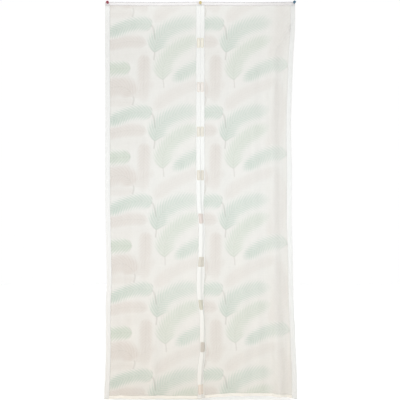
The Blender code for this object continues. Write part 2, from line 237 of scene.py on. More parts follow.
# The heading sags between the pins, and the cloth takes its own shape further down
HEADING_SAG = 0.0025
PIN_SPAN = 0.4975
SAG_FADES_BY = 0.60
HEM_ARCH_STARTS = 1.60
FLAT_BELOW_HEADING = 0.30
CALM_BY_CLOSING_EDGE = 0.110
print(f"each panel is {PANEL_WIDTH:.3f} m wide and {PANEL_BOTTOM - PANEL_TOP:.3f} m long")

# %% Tables of edges, depths and folds
# Each pair of an edge is a distance down and a place across
LEFT_OUTER_EDGE = (
    (0.05, -0.5050), (0.50, -0.5025), (1.05, -0.5025), (1.22, -0.4990), (1.48, -0.4930),
    (1.60, -0.4995), (1.88, -0.4985), (2.00, -0.5030), (2.10, -0.5080),
)
RIGHT_OUTER_EDGE = (
    (0.14, 0.5025), (0.28, 0.4920), (0.45, 0.4845), (0.65, 0.4785), (0.90, 0.4835), (1.16, 0.4810),
    (1.34, 0.4880), (1.60, 0.4915), (1.70, 0.4980), (1.84, 0.5020), (1.97, 0.5090), (2.10, 0.5095),
)
LEFT_CLOSING_EDGE = (
    (0.98, -0.0004), (1.09, 0.0020), (1.16, 0.0120), (1.35, 0.0120), (1.42, 0.0020), (1.55, 0.0020),
    (1.66, 0.0190), (1.87, 0.0190), (1.94, 0.0060), (2.10, 0.0070),
)
RIGHT_CLOSING_EDGE = (
    (0.98, 0.0004), (1.08, -0.0070), (1.20, 0.0015), (1.46, 0.0010), (1.54, -0.0065),
    (1.68, -0.0020), (1.87, 0.0080), (1.94, -0.0080), (2.02, -0.0040), (2.10, 0.0010),
)
# Each pair of a depth is a distance down and how far the cloth hangs in front of the frame
BODY_DEPTH = (
    (0.02, MIDDLE_DEPTH), (0.20, 0.0090), (0.80, 0.0130), (2.10, 0.0150),
)
LEFT_CLOSING_DEPTH = (
    (0.02, MIDDLE_DEPTH), (0.20, 0.0090), (0.78, 0.0120), (0.93, 0.0170), (2.10, 0.0180),
)
RIGHT_CLOSING_DEPTH = (
    (0.02, MIDDLE_DEPTH), (0.20, 0.0090), (0.78, 0.0110), (0.93, 0.0080), (2.10, 0.0085),
)
# A fold: its middle and half width across, how far it stands forward, its drift outwards for
# each metre down, and where it begins and is full
Fold = namedtuple("Fold", "across half_width forward drift begins full")
LEFT_FOLDS = (
    Fold(0.140, 0.070, 0.0060, 0.010, 0.10, 0.80),
    Fold(0.235, 0.050, -0.0050, -0.012, 0.25, 1.10),
    Fold(0.262, 0.032, 0.0075, -0.004, 1.40, 2.05),
    Fold(0.330, 0.065, 0.0065, 0.014, 0.05, 0.60),
    Fold(0.425, 0.055, -0.0070, -0.010, 0.03, 0.30),
    Fold(0.500, 0.060, 0.0060, 0.000, 0.20, 1.30),
)
RIGHT_FOLDS = (
    Fold(0.150, 0.065, -0.0055, 0.012, 0.15, 0.90),
    Fold(0.240, 0.060, 0.0080, -0.010, 0.20, 1.00),
    Fold(0.322, 0.046, -0.0080, 0.016, 0.08, 0.50),
    Fold(0.385, 0.040, 0.0120, 0.010, 0.06, 0.45),
    Fold(0.438, 0.036, -0.0090, 0.006, 0.04, 0.40),
    Fold(0.482, 0.040, 0.0100, 0.000, 0.10, 0.50),
)
print(len(LEFT_FOLDS), "folds in the left panel,", len(RIGHT_FOLDS), "in the right one")

# %% [markdown]
# ## Creases
#
# Folds are what a hanging cloth does under its own weight. Creases are smaller: the lines that pull away
# from a pin, and the soft marks left from being packed. They were placed against the photograph. Each is
# a straight low ridge or trough between two points of the cloth, with ends that fade out, so a handful
# of numbers describes it.

# %% Table of creases
# A crease: where it starts and ends across and down, its half width, and its height
Crease = namedtuple("Crease", "across down to_across to_down half_width height")
LEFT_CREASES = (
    Crease(0.470, 0.040, 0.400, 0.230, 0.011, 0.0012),
    Crease(0.445, 0.030, 0.350, 0.140, 0.012, -0.0010),
    Crease(0.480, 0.090, 0.448, 0.420, 0.010, -0.0010),
    Crease(0.060, 0.080, 0.110, 0.300, 0.010, 0.0007),
    Crease(0.300, 0.400, 0.180, 0.430, 0.009, 0.0006),
    Crease(0.395, 0.760, 0.320, 1.120, 0.012, 0.0008),
    Crease(0.215, 0.900, 0.200, 1.350, 0.011, -0.0007),
    Crease(0.090, 1.180, 0.140, 1.520, 0.012, 0.0008),
    Crease(0.440, 1.300, 0.400, 1.640, 0.012, 0.0009),
    Crease(0.285, 1.620, 0.262, 2.080, 0.010, -0.0012),
    Crease(0.235, 1.700, 0.240, 2.080, 0.009, 0.0011),
    Crease(0.110, 1.760, 0.090, 2.060, 0.012, 0.0008),
    Crease(0.400, 1.900, 0.455, 2.060, 0.012, -0.0009),
)
RIGHT_CREASES = (
    Crease(0.487, 0.085, 0.392, 0.292, 0.010, 0.0095),
    Crease(0.462, 0.034, 0.352, 0.190, 0.010, 0.0032),
    Crease(0.478, 0.110, 0.430, 0.330, 0.008, -0.0014),
    Crease(0.440, 0.030, 0.300, 0.110, 0.010, -0.0010),
    Crease(0.415, 0.240, 0.400, 0.560, 0.009, 0.0013),
    Crease(0.372, 0.300, 0.362, 0.700, 0.009, -0.0012),
    Crease(0.452, 0.400, 0.446, 0.840, 0.008, 0.0012),
    Crease(0.060, 0.060, 0.120, 0.210, 0.010, -0.0007),
    Crease(0.150, 0.480, 0.240, 0.560, 0.010, 0.0006),
    Crease(0.330, 0.860, 0.345, 1.300, 0.011, 0.0009),
    Crease(0.200, 1.020, 0.160, 1.420, 0.011, -0.0008),
    Crease(0.455, 1.150, 0.430, 1.560, 0.010, 0.0011),
    Crease(0.120, 1.560, 0.100, 1.920, 0.012, 0.0008),
    Crease(0.390, 1.660, 0.360, 2.070, 0.010, -0.0011),
    Crease(0.300, 1.800, 0.290, 2.070, 0.010, 0.0010),
    Crease(0.440, 1.840, 0.470, 2.070, 0.009, 0.0011),
)
Panel = namedtuple("Panel", "outwards outer_edge closing_edge closing_depth folds creases hem_arch")
PANELS = {
    "left": Panel(
        -1, LEFT_OUTER_EDGE, LEFT_CLOSING_EDGE, LEFT_CLOSING_DEPTH, LEFT_FOLDS, LEFT_CREASES, 0.0010
    ),
    "right": Panel(
        1, RIGHT_OUTER_EDGE, RIGHT_CLOSING_EDGE, RIGHT_CLOSING_DEPTH, RIGHT_FOLDS, RIGHT_CREASES, 0.0150
    ),
}
print(sum(len(panel.creases) for panel in PANELS.values()), "creases placed by hand")

# %% Read the tables smoothly
TABLE_READINGS = 5
READINGS_WITHIN = 0.04


def ease(start, end, value):
    """Rise from 0 at start to 1 at end: t squared times (3 - 2t), with t the share of the way."""
    t = np.clip((value - start) / (end - start), 0.0, 1.0)
    return t * t * (3.0 - 2.0 * t)


def read_table(table, down):
    """Read a table at some distances down, as the mean of a few readings, so no corner is sharp."""
    downs, values = zip(*table)
    shifts = np.linspace(-READINGS_WITHIN, READINGS_WITHIN, TABLE_READINGS)
    return sum(np.interp(down + shift, downs, values) for shift in shifts) / TABLE_READINGS


def heading_sag(x):
    """Drop of the heading between two pins: 4 s (1 - s) times the sag, with s the share of the way."""
    share = np.clip(np.abs(x) / PIN_SPAN, 0.0, 1.0)
    return HEADING_SAG * 4.0 * share * (1.0 - share)


print(f"the right edge is drawn in to {read_table(RIGHT_OUTER_EDGE, 0.65):.3f} m from the middle")

# %% Add up the folds and the creases
# Each end of a crease fades over this share of its length
CREASE_FADE = 0.35


def fold_depth(folds, across, down):
    """Sum of the folds: forward times the squared cosine of how far aside, eased in down its length."""
    total = np.zeros(np.broadcast(across, down).shape)
    for fold in folds:
        middle = fold.across + fold.drift * down
        offset = np.clip(np.abs(across - middle) / fold.half_width, 0.0, 1.0)
        total += fold.forward * np.cos(offset * np.pi / 2) ** 2 * ease(fold.begins, fold.full, down)
    return total


def crease_depth(creases, across, down):
    """Sum of the creases: height times exp(-(distance / half width) squared), fading at both ends."""
    total = np.zeros(np.broadcast(across, down).shape)
    for crease in creases:
        run = np.array([crease.to_across - crease.across, crease.to_down - crease.down])
        length = np.hypot(*run)
        along = ((across - crease.across) * run[0] + (down - crease.down) * run[1]) / length
        aside = ((across - crease.across) * run[1] - (down - crease.down) * run[0]) / length
        share = along / length
        fade = ease(0.0, CREASE_FADE, share) * ease(0.0, CREASE_FADE, 1.0 - share)
        total += crease.height * np.exp(-((aside / crease.half_width) ** 2)) * fade
    return total


print(f"a fold of the right panel stands {1000 * fold_depth(RIGHT_FOLDS, 0.395, 1.0):.1f} mm forward")


# %% Turn across and down into a place in the room
def hung_point(panel, across, down):
    """Place of the cloth's middle surface: x runs from edge to edge, and y is how deep it hangs."""
    closing = read_table(panel.closing_edge, down) + panel.outwards * (TAPE_REACH + across)
    outer = read_table(panel.outer_edge, down) - panel.outwards * (TAPE_REACH + PANEL_WIDTH - across)
    share = np.clip((across - CLOSING_LINE) / (BORDER_LINE - CLOSING_LINE), 0.0, 1.0)
    x = closing + (outer - closing) * share

    by_edge = 1.0 - ease(CLOSING_LINE, CALM_BY_CLOSING_EDGE, across)
    depth = read_table(BODY_DEPTH, down) * (1.0 - by_edge)
    depth = depth + read_table(panel.closing_depth, down) * by_edge
    depth = depth + fold_depth(panel.folds, across, down) * (1.0 - by_edge)
    free = ease(HEADING_HEIGHT, FLAT_BELOW_HEADING, down)
    near_heading = ease(HEADING_HEIGHT, 3 * HEADING_HEIGHT, down)
    y = -(MIDDLE_DEPTH + (depth - MIDDLE_DEPTH) * free)
    y = y - crease_depth(panel.creases, across, down) * near_heading

    sag = heading_sag(x) * (1.0 - ease(HEADING_HEIGHT, SAG_FADES_BY, down))
    middle = np.clip(across / PANEL_WIDTH, 0.0, 1.0)
    arch = panel.hem_arch * 4.0 * middle * (1.0 - middle) * ease(HEM_ARCH_STARTS, SCREEN_HEIGHT, down)
    return np.stack(np.broadcast_arrays(x, y, -down - sag + arch), axis=-1)


print("middle of the right panel hangs at", hung_point(PANELS["right"], 0.25, 1.0).round(3))

# %% Find directions on the cloth
# The step to a neighbouring point that gives a direction
DIRECTION_STEP = 0.001


def unit(vectors):
    """Scale vectors to length 1."""
    return vectors / np.linalg.norm(vectors, axis=-1, keepdims=True)


def hung_frame(panel, across, down, step=DIRECTION_STEP):
    """Points of the hung cloth, with its forward normals and its outward and downward directions.

    The two directions are differences between points one step to either side, and the normal is
    their cross product.
    """
    across, down = np.broadcast_arrays(np.asarray(across, float), np.asarray(down, float))
    outward = hung_point(panel, across + step, down) - hung_point(panel, across - step, down)
    downward = hung_point(panel, across, down + step) - hung_point(panel, across, down - step)
    normal = unit(np.cross(outward, downward))
    normal = normal * np.where(normal[..., 1:2] > 0, -1.0, 1.0)
    return hung_point(panel, across, down), normal, unit(outward), unit(downward)


print("there its face points along", hung_frame(PANELS["right"], 0.25, 1.0)[1].round(2))

# %% [markdown]
# ## From arrays to meshes
#
# Every new piece below is a lattice: rows and columns of points that a formula places. One
# function turns such a lattice into a mesh. It can join the last column to the first, which
# makes a tube, and close the two ends. A closed piece whose volume comes out negative is inside
# out, so its faces are turned round.


# %% Define the lattice mesh
def lattice_faces(rows, columns, tube):
    """Quads between neighbours in a lattice, with the last column joined to the first on a tube."""
    index = np.arange(rows * columns).reshape(rows, columns)
    if tube:
        index = np.concatenate([index, index[:, :1]], axis=1)
    corners = [index[:-1, :-1], index[:-1, 1:], index[1:, 1:], index[1:, :-1]]
    return np.stack(corners, axis=-1).reshape(-1, 4)


def volume(points, quads):
    """Signed volume inside quads: a sixth of the sum of a . (b x c) over their two triangles each."""
    a, b, c, d = (points[quads[:, i]] for i in range(4))
    return (np.einsum("ij,ij->", a, np.cross(b, c)) + np.einsum("ij,ij->", a, np.cross(c, d))) / 6


def add_piece(name, points, faces, material, uv=None):
    """Add a smooth mesh that rides on the frame, with a UV map in metres if one is given."""
    mesh = bpy.data.meshes.new(name)
    mesh.from_pydata(points.reshape(-1, 3).tolist(), [], faces)
    mesh.polygons.foreach_set("use_smooth", np.ones(len(mesh.polygons), bool))
    if uv is not None:
        corner_points = np.empty(len(mesh.loops), int)
        mesh.loops.foreach_get("vertex_index", corner_points)
        layer = mesh.uv_layers.new(name="cloth")
        layer.data.foreach_set("uv", uv.reshape(-1, 2)[corner_points].ravel())
    mesh.materials.append(material)
    obj = bpy.data.objects.new(name, mesh)
    bpy.context.scene.collection.objects.link(obj)
    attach(obj, "root")
    return obj


def add_tube(name, points, material, uv=None):
    """Add a lattice as a closed tube, with its two ends filled and its faces turned outwards."""
    rows, columns = points.shape[:2]
    flat = points.reshape(-1, 3)
    quads = lattice_faces(rows, columns, True)
    start = list(range(columns))[::-1]
    end = list(range((rows - 1) * columns, rows * columns))
    faces = quads.tolist() + [start, end]
    if volume(flat - flat.mean(axis=0), quads) < 0:
        faces = [face[::-1] for face in faces]
    return add_piece(name, flat, faces, material, uv)


print("a 3 by 4 tube has", len(lattice_faces(3, 4, True)), "faces")

# %% [markdown]
# ## The print
#
# The cloth is printed with fern-like fronds and softer plumes, a common leaf motif, in pale
# green and taupe. Both panels are cut from one length of cloth, so the right panel shows the
# same print further along. A frond is drawn round a spine, a curve with one bend. For every
# point of the cloth the nearest place on the spine gives two numbers: how far along, and how
# far aside. The leaf's outline and its dark lines are formulas of those two, and so are the
# barbs, which leave the spine at 45 degrees. The amounts of ink are kept in the mesh as
# attributes, so that the print bends with the cloth.

# %% Table of the motifs in one repeat
PRINT_REPEAT = 0.4705
RIGHT_PANEL_SHIFT = 0.122
# Lower repeats come a little sooner: PRINT_DRAWN_UP times the squared distance below a height
PRINT_DRAWN_UP = 0.020
DRAWN_UP_BELOW = 1.0
INKS = ("green", "spring", "taupe", "line")
# A motif: its ink, the ink's strength at the base and the tip, the spine's base, bend and tip in
# millimetres from the left panel's top outer corner, half its width, how much of that is gone by
# the tip, how pointed the base is (0.5 round, 1 pointed), the end of its stem or None, and half
# the stem's width. Green and spring motifs are leaves, and taupe ones are feathers.
Motif = namedtuple(
    "Motif", "ink at_base at_tip base bend tip half_width taper point stem stem_half_width"
)
MOTIFS = (
    Motif("taupe", 0.40, 0.28, (262, 578), (305, 478), (570, 415), 44, 0.35, 0.5, None, 0.0),
    Motif("taupe", 0.78, 0.50, (205, 274), (203, 390), (198, 540), 38, 0.00, 0.3, None, 0.0),
    Motif("taupe", 0.14, 0.20, (235, 262), (140, 290), (-20, 280), 40, 0.00, 0.5, None, 0.0),
    Motif("taupe", 0.60, 0.78, (220, 222), (120, 192), (-20, 246), 39, 0.00, 0.6, None, 0.0),
    Motif("taupe", 0.34, 0.42, (150, 536), (80, 528), (-20, 536), 30, 0.00, 0.5, None, 0.0),
    Motif("taupe", 0.92, 0.78, (148, 506), (98, 394), (-40, 502), 62, 0.00, 0.6, (144, 546), 4.0),
    Motif("taupe", 0.40, 0.30, (152, 512), (185, 448), (262, 432), 34, 0.10, 0.5, None, 0.0),
    Motif("taupe", 0.33, 0.28, (510, 324), (566, 170), (556, -12), 54, 0.00, 0.5, None, 0.0),
    Motif("taupe", 0.30, 0.30, (550, 565), (555, 500), (536, 421), 34, 0.10, 0.5, None, 0.0),
    Motif("spring", 0.80, 1.00, (132, 352), (90, 350), (-60, 366), 42, 0.00, 0.5, None, 0.0),
    Motif("green", 0.55, 0.88, (244, 124), (150, 90), (0, 184), 44, 0.12, 0.3, (262, 196), 4.0),
    Motif("spring", 0.60, 0.63, (304, 413), (278, 254), (506, 190), 60, 0.26, 0.9, (308, 455), 2.2),
    Motif("green", 0.70, 0.47, (260, 268), (268, 116), (506, 104), 58, 0.16, 0.9, (256, 306), 3.0),
    Motif("green", 0.38, 0.74, (594, 343), (500, 303), (352, 424), 47, 0.16, 0.6, (600, 480), 4.0),
)
print(len(MOTIFS), "motifs repeat every", round(1000 * PRINT_REPEAT), "mm down the cloth")


# %% Measure along and aside of a curve
SPINE_POINTS = 25
STEM_POINTS = 9


def bent_line(start, bend, end, count):
    """Points of a curve with one bend: (1-t) squared start + 2 t (1-t) bend + t squared end."""
    t = np.linspace(0.0, 1.0, count)[:, None]
    start, bend, end = (np.array(point, float) for point in (start, bend, end))
    return (1 - t) ** 2 * start + 2 * t * (1 - t) * bend + t**2 * end


def along_and_aside(x, y, spine):
    """Distances along a chain of segments and aside of it, for each point, and the chain's length."""
    best = np.full(x.shape, np.inf)
    along = np.zeros(x.shape)
    travelled = 0.0
    for start, end in zip(spine[:-1], spine[1:]):
        run = end - start
        length = np.hypot(*run)
        share = np.clip(((x - start[0]) * run[0] + (y - start[1]) * run[1]) / length**2, 0.0, 1.0)
        distance = np.hypot(x - start[0] - share * run[0], y - start[1] - share * run[1])
        along = np.where(distance < best, travelled + share * length, along)
        best = np.minimum(best, distance)
        travelled += length
    return along, best, travelled


print("a spine has", SPINE_POINTS, "points and a stem", STEM_POINTS)

# %% [markdown]
# ## One leaf or feather
#
# The leaf's reach aside of its spine rises from the base as a sine to the power of its point,
# narrows along its length and ends in half an ellipse. Ink fades out round that reach like
# sprayed dye. Barbs are lines at 45 degrees that part towards the fringe. A feather differs from
# a leaf in four ways, which a small table gives: its barbs hardly part, its base is never crisp
# and has no rim, its ink fades in over the base, and its stem is paler.

# %% Measures of a leaf and a feather
# Sizes in millimetres
BARB_PITCH = 17.0
SPINE_HALF_WIDTH = 2.0
SPINE_SOFTNESS = 1.5
STEM_SOFTNESS = (2.5, -2.0)
RIM_WIDTH = 6.0
LEAST_REACH = 0.5
# Where things start and end, as shares of the way from base to tip
BASE_ROUND_UNTIL = 0.20
TIP_ROUND_FROM = 0.70
INK_FADES_AT_TIP = (1.06, 0.80)
CRISP_AT_BASE = (0.30, 0.05)
RIM_AT_BASE = (0.13, 0.01)
SPINE_TAPER = 0.6
STEM_LEAN = 0.12
# Where ink is gone and full, as shares of the reach aside, and where the rim lies
SOFT_EDGE = (1.25, 0.45)
CRISP_EDGE = (1.13, 0.70)
RIM_PLACE = 0.9
# Where barbs start to part and are parted, and how much a crisp base holds them together
FRINGE = (0.20, 0.95)
FRINGE_HELD = 0.5
# Amounts of line ink
SPINE_INK = 0.22
RIM_INK = 0.40
DEEP_INK = 0.20
DEEP_FROM = 0.5
# A kind of motif: how far its barbs part by the spine and at the fringe, how crisp its base is
# (which gives its rim and its deeper shade too), where its ink fades in, and the ink of its stem
Kind = namedtuple("Kind", "parted_by_spine parted_at_fringe crisp fades_in stem_ink")
LEAF = Kind(0.18, 1.00, 1.0, None, 0.58)
FEATHER = Kind(0.00, 0.25, 0.0, (-0.05, 0.11), 0.34)
print("a leaf's barbs part by", LEAF.parted_by_spine, "to", LEAF.parted_at_fringe)


# %% Draw one motif
def between(start, end, share):
    """Value a share of the way from start to end."""
    return start + (end - start) * share


def draw_frond(x, y, motif):
    """Body ink, line ink, turns of the barbs and how far they are parted, for one motif at some places.

    Body ink fills the leaf's reach. Line ink draws the stem, the spine, a rim by the base of a leaf
    and a deeper shade where the body ink is strong. Barbs are counted by (along - aside) / pitch.
    """
    kind = FEATHER if motif.ink == "taupe" else LEAF
    spine_line = bent_line(motif.base, motif.bend, motif.tip, SPINE_POINTS)
    along, aside, length = along_and_aside(x, y, spine_line)
    u = along / length
    base_round = np.sin(np.pi / 2 * np.clip(u / BASE_ROUND_UNTIL, 0.0, 1.0)) ** motif.point
    tip_round = np.sqrt(1.0 - np.clip((u - TIP_ROUND_FROM) / (1.0 - TIP_ROUND_FROM), 0.0, 1.0) ** 2)
    reach = motif.half_width * base_round * tip_round * (1.0 - motif.taper * u)
    reach = np.maximum(reach, LEAST_REACH)
    share = aside / reach

    strength = between(motif.at_base, motif.at_tip, u) * ease(*INK_FADES_AT_TIP, u)
    if kind.fades_in:
        strength = strength * ease(*kind.fades_in, u)
    crisp = kind.crisp * ease(*CRISP_AT_BASE, u)
    ink_gone = between(SOFT_EDGE[0], CRISP_EDGE[0], crisp)
    ink_full = between(SOFT_EDGE[1], CRISP_EDGE[1], crisp)
    body = ease(ink_gone, ink_full, share) * strength
    fringe = ease(*FRINGE, share) * (1.0 - FRINGE_HELD * crisp)
    parted = between(kind.parted_by_spine, kind.parted_at_fringe, fringe)
    turns = (along - aside) / BARB_PITCH

    off_spine = aside - SPINE_HALF_WIDTH * (1.0 - SPINE_TAPER * u)
    spine = SPINE_INK * ease(SPINE_SOFTNESS, -SPINE_SOFTNESS, off_spine) * body
    off_rim = np.abs(aside - RIM_PLACE * reach)
    rim = RIM_INK * ease(RIM_WIDTH, 0.0, off_rim) * ease(*RIM_AT_BASE, u) * kind.crisp * strength
    deep = DEEP_INK * kind.crisp * np.clip(body - DEEP_FROM, 0.0, 1.0)
    line = deep + np.maximum(spine, rim)
    if motif.stem is not None:
        leaning = between(np.array(motif.base), np.array(motif.bend), -STEM_LEAN)
        stem_line = bent_line(motif.base, leaning, motif.stem, STEM_POINTS)
        _, off_stem, _ = along_and_aside(x, y, stem_line)
        edge = ease(*STEM_SOFTNESS, off_stem - motif.stem_half_width)
        line = np.maximum(line, kind.stem_ink * motif.at_base * edge)
    return body, line, turns, parted


one_place = np.array([300.0]), np.array([150.0])
print("body ink at one place of a leaf:", draw_frond(*one_place, MOTIFS[-2])[0].round(2))

# %% Draw the whole print
# A motif is drawn out to this share of its half width, a little past where its ink is gone
MOTIF_MARGIN = 1.4
BARBS_SHOW_FROM = 0.05
COUNTS_AS_INKED = 0.3


def draw_print(x, y):
    """Inks and barbs at places in millimetres, with every motif repeated down the cloth.

    Each ink is the strongest of its motifs. The barbs are those of the last motif drawn there.
    """
    repeat = 1000 * PRINT_REPEAT
    inks = np.zeros((*x.shape, len(INKS)))
    barbs = np.zeros((*x.shape, 3))
    for motif in MOTIFS:
        ends = np.array([motif.base, motif.bend, motif.tip, motif.stem or motif.base], float)
        middle = (ends[:, 1].min() + ends[:, 1].max()) / 2
        near_y = (y - middle + repeat / 2) % repeat - repeat / 2 + middle
        margin = MOTIF_MARGIN * motif.half_width
        near = (x > ends[:, 0].min() - margin) & (x < ends[:, 0].max() + margin)
        body, line, turns, parted = draw_frond(x[near], near_y[near], motif)
        for ink, amount in ((motif.ink, body), ("line", line)):
            column = INKS.index(ink)
            inks[near, column] = np.maximum(inks[near, column], amount)
        own_barbs = np.stack([turns, parted, np.zeros_like(turns)], axis=-1)
        barbs[near] = np.where(body[:, None] > BARBS_SHOW_FROM, own_barbs, barbs[near])
    return inks, barbs


print("inks at a frond's middle:", draw_print(np.array([348.0]), np.array([140.0]))[0].round(2))

# %% [markdown]
# ## Printed sheer
#
# The cloth is polyester voile: fine, even threads woven loosely enough to see light through.
# To the eye it is a pale veil, bright from both sides. So the material mixes three things.
# Some light goes straight through between the threads, some is scattered back, and some is
# scattered through to the far side. Real threads lie about 0.3 mm apart, which no picture of
# the whole screen can show, so the weave is drawn as uneven threads a few millimetres apart.

# %% Define the patterns that the cloths share
# Painted shade: colours are darkened and warmed in blotches towards the floor, standing in for the
# dimmer, warmer light low on the screen. This is the tint they are multiplied by.
LOW_SHADE_TINT = linear("#FFFCF8")
# Blotches of the painted low shade are a hand's breadth and more across, about 140 mm
LOW_SHADE_BLOTCHES_A_METRE = 7.0
# The painted low shade is full at the first height, by the hem, and gone at the second
LOW_SHADE_HEIGHTS = (-2.1, -1.1)
LOW_SHADE_BLOTCH_RANGE = (0.6, 1.4)


def thread_noise(tree, place, across_mm, along_mm, detail=2.0):
    """Streaky noise, its features about across_mm wide and along_mm long on a UV map in metres."""
    scale = (1000 / across_mm, 1000 / along_mm, 1.0)
    stretched = add_node(tree, "ShaderNodeMapping", {"Vector": place, "Scale": scale})
    settings = {"Vector": stretched.outputs[0], "Scale": 1.0, "Detail": detail}
    return add_node(tree, "ShaderNodeTexNoise", settings).outputs["Fac"]


def weighted_sum(tree, *patterns):
    """Sum of patterns, each times its weight."""
    total = 0.0
    for pattern, weight in patterns:
        term = {0: pattern, 1: weight, 2: total}
        total = add_node(tree, "ShaderNodeMath", term, operation="MULTIPLY_ADD").outputs[0]
    return total


def mottled(tree, pattern, hex_colour, darkest):
    """Vary a colour by a pattern, from a darkest share of its light up to the whole of it."""
    full = linear(hex_colour)
    dark = (*(darkest * channel for channel in full[:3]), 1.0)
    return add_node(tree, "ShaderNodeMix", {0: pattern, 6: dark, 7: full}, data_type="RGBA").outputs[2]


def paint_low_shade(tree, colour, share=1.0):
    """Paint a warm, browner shade on a colour towards the floor, by multiplying a blotchy share of it by
    a warm tint.
    """
    place = add_node(tree, "ShaderNodeTexCoord").outputs["Object"]
    height = add_node(tree, "ShaderNodeSeparateXYZ", {"Vector": place}).outputs["Z"]
    blotch_noise = {"Vector": place, "Scale": LOW_SHADE_BLOTCHES_A_METRE, "Detail": 3.0}
    blotches = add_node(tree, "ShaderNodeTexNoise", blotch_noise).outputs["Fac"]
    hem, unshaded = LOW_SHADE_HEIGHTS
    fall = {"Value": height, "From Min": hem, "From Max": unshaded, "To Min": share, "To Max": 0.0}
    shade_by_height = add_node(tree, "ShaderNodeMapRange", fall).outputs["Result"]
    least, most = LOW_SHADE_BLOTCH_RANGE
    patches = {"Value": blotches, "To Min": least, "To Max": most}
    patchy = add_node(tree, "ShaderNodeMapRange", patches).outputs["Result"]
    shade_amount = add_node(tree, "ShaderNodeMath", {0: shade_by_height, 1: patchy}, operation="MULTIPLY").outputs[0]
    layers = {0: shade_amount, 6: colour, 7: LOW_SHADE_TINT}
    return add_node(tree, "ShaderNodeMix", layers, data_type="RGBA", blend_type="MULTIPLY").outputs[2]


print("low_shade reaches", round(LOW_SHADE_HEIGHTS[1] - LOW_SHADE_HEIGHTS[0], 1), "m above the hem")

# %% Read the inks and part the barbs
INK_BLOT_MM = 28.0
INK_BLOT_RANGE = (0.86, 1.42)
LEAST_GAP_DEPTH = 0.24

voile, tree = start_material("printed polyester voile")
place = add_node(tree, "ShaderNodeUVMap", uv_map="cloth").outputs[0]
ink = add_node(tree, "ShaderNodeAttribute", attribute_name="ink")
dyes = add_node(tree, "ShaderNodeSeparateColor", {"Color": ink.outputs["Color"]})
green, spring, taupe = dyes.outputs[:3]
barbs = add_node(tree, "ShaderNodeAttribute", attribute_name="barbs").outputs["Vector"]
turns, parted, _ = add_node(tree, "ShaderNodeSeparateXYZ", {"Vector": barbs}).outputs[:3]

# Barbs are a wave of the turns, which bites deeper into the ink towards the fringe
angle = add_node(tree, "ShaderNodeMath", {0: turns, 1: 2 * np.pi}, operation="MULTIPLY").outputs[0]
wave = add_node(tree, "ShaderNodeMath", {0: angle}, operation="COSINE").outputs[0]
between_barbs = {"Value": wave, "From Min": -1.0, "From Max": 1.0, "To Min": 1.0, "To Max": 0.0}
gap = add_node(tree, "ShaderNodeMapRange", between_barbs).outputs["Result"]
deepening = {"Value": parted, "To Min": LEAST_GAP_DEPTH, "To Max": 1.0}
gap_depth = add_node(tree, "ShaderNodeMapRange", deepening).outputs["Result"]
bite = add_node(tree, "ShaderNodeMath", {0: gap, 1: gap_depth}, operation="MULTIPLY").outputs[0]
left_over = add_node(tree, "ShaderNodeMath", {0: 1.0, 1: bite}, operation="SUBTRACT").outputs[0]
# Ink soaks in unevenly, in soft blots
blot = thread_noise(tree, place, INK_BLOT_MM, INK_BLOT_MM, 3.0)
patches = {"Value": blot, "To Min": INK_BLOT_RANGE[0], "To Max": INK_BLOT_RANGE[1]}
blotted = add_node(tree, "ShaderNodeMapRange", patches).outputs["Result"]
kept = add_node(tree, "ShaderNodeMath", {0: left_over, 1: blotted}, operation="MULTIPLY").outputs[0]
print("inks and barbs take", len(tree.nodes), "nodes")

# %% Weave and dye the voile
VOILE_THREAD_MM = 2.6
WARP_SLUB_MM = 60.0
WEFT_SLUB_MM = 84.0
CRINKLE_MM = 13.0

# Threads both ways and a fine crinkle give the veil its grain
warp = thread_noise(tree, place, VOILE_THREAD_MM, WARP_SLUB_MM)
weft = thread_noise(tree, place, WEFT_SLUB_MM, VOILE_THREAD_MM)
crinkle = thread_noise(tree, place, CRINKLE_MM, CRINKLE_MM, 1.0)
threads = weighted_sum(tree, (warp, 0.35), (weft, 0.40), (crinkle, 0.25))
undyed = {0: threads, 6: linear("#CBC9C3"), 7: linear("#DFDDD7")}
colour = add_node(tree, "ShaderNodeMix", undyed, data_type="RGBA").outputs[2]
for amount, ink_colour in ((taupe, "#C7BFB7"), (spring, "#B8C2B2"), (green, "#ADBCAF")):
    taken = add_node(tree, "ShaderNodeMath", {0: amount, 1: kept}, operation="MULTIPLY").outputs[0]
    layers = {0: taken, 6: colour, 7: linear(ink_colour)}
    colour = add_node(tree, "ShaderNodeMix", layers, data_type="RGBA").outputs[2]
layers = {0: ink.outputs["Alpha"], 6: colour, 7: linear("#9C958B")}
# Painted shade: the voile is darkened and warmed towards the floor
colour = paint_low_shade(tree, add_node(tree, "ShaderNodeMix", layers, data_type="RGBA").outputs[2])
print("a voile thread is drawn", VOILE_THREAD_MM, "mm wide")

# %% Let light through the voile
OPEN_SHARE = 0.18
SCATTER_THROUGH = 0.25

relief = add_node(tree, "ShaderNodeBump", {"Height": threads, "Strength": 0.10, "Distance": 0.0006})
facing = {"Base Color": colour, "Roughness": 0.85, "Specular IOR Level": 0.2, "Sheen Weight": 0.08}
back = add_node(tree, "ShaderNodeBsdfPrincipled", {**facing, "Normal": relief.outputs[0]})
through = add_node(tree, "ShaderNodeBsdfTranslucent", {"Color": colour})
halves = {"Fac": SCATTER_THROUGH, 1: back.outputs[0], 2: through.outputs[0]}
cloth = add_node(tree, "ShaderNodeMixShader", halves)
gaps = add_node(tree, "ShaderNodeBsdfTransparent", {"Color": linear("#FFFFFF")})
halves = {"Fac": OPEN_SHARE, 1: cloth.outputs[0], 2: gaps.outputs[0]}
veil = add_node(tree, "ShaderNodeMixShader", halves)
add_node(tree, "ShaderNodeOutputMaterial", {"Surface": veil.outputs[0]})
print("voile material has", len(tree.nodes), "nodes")

# %% [markdown]
# ## The two panels
#
# Each panel is a cut length of voile. It is one thin sheet on a lattice fine enough to carry
# both the creases and the print, a point about every 3.5 mm. Its raw edges end inside the
# tapes, so only the face shows.

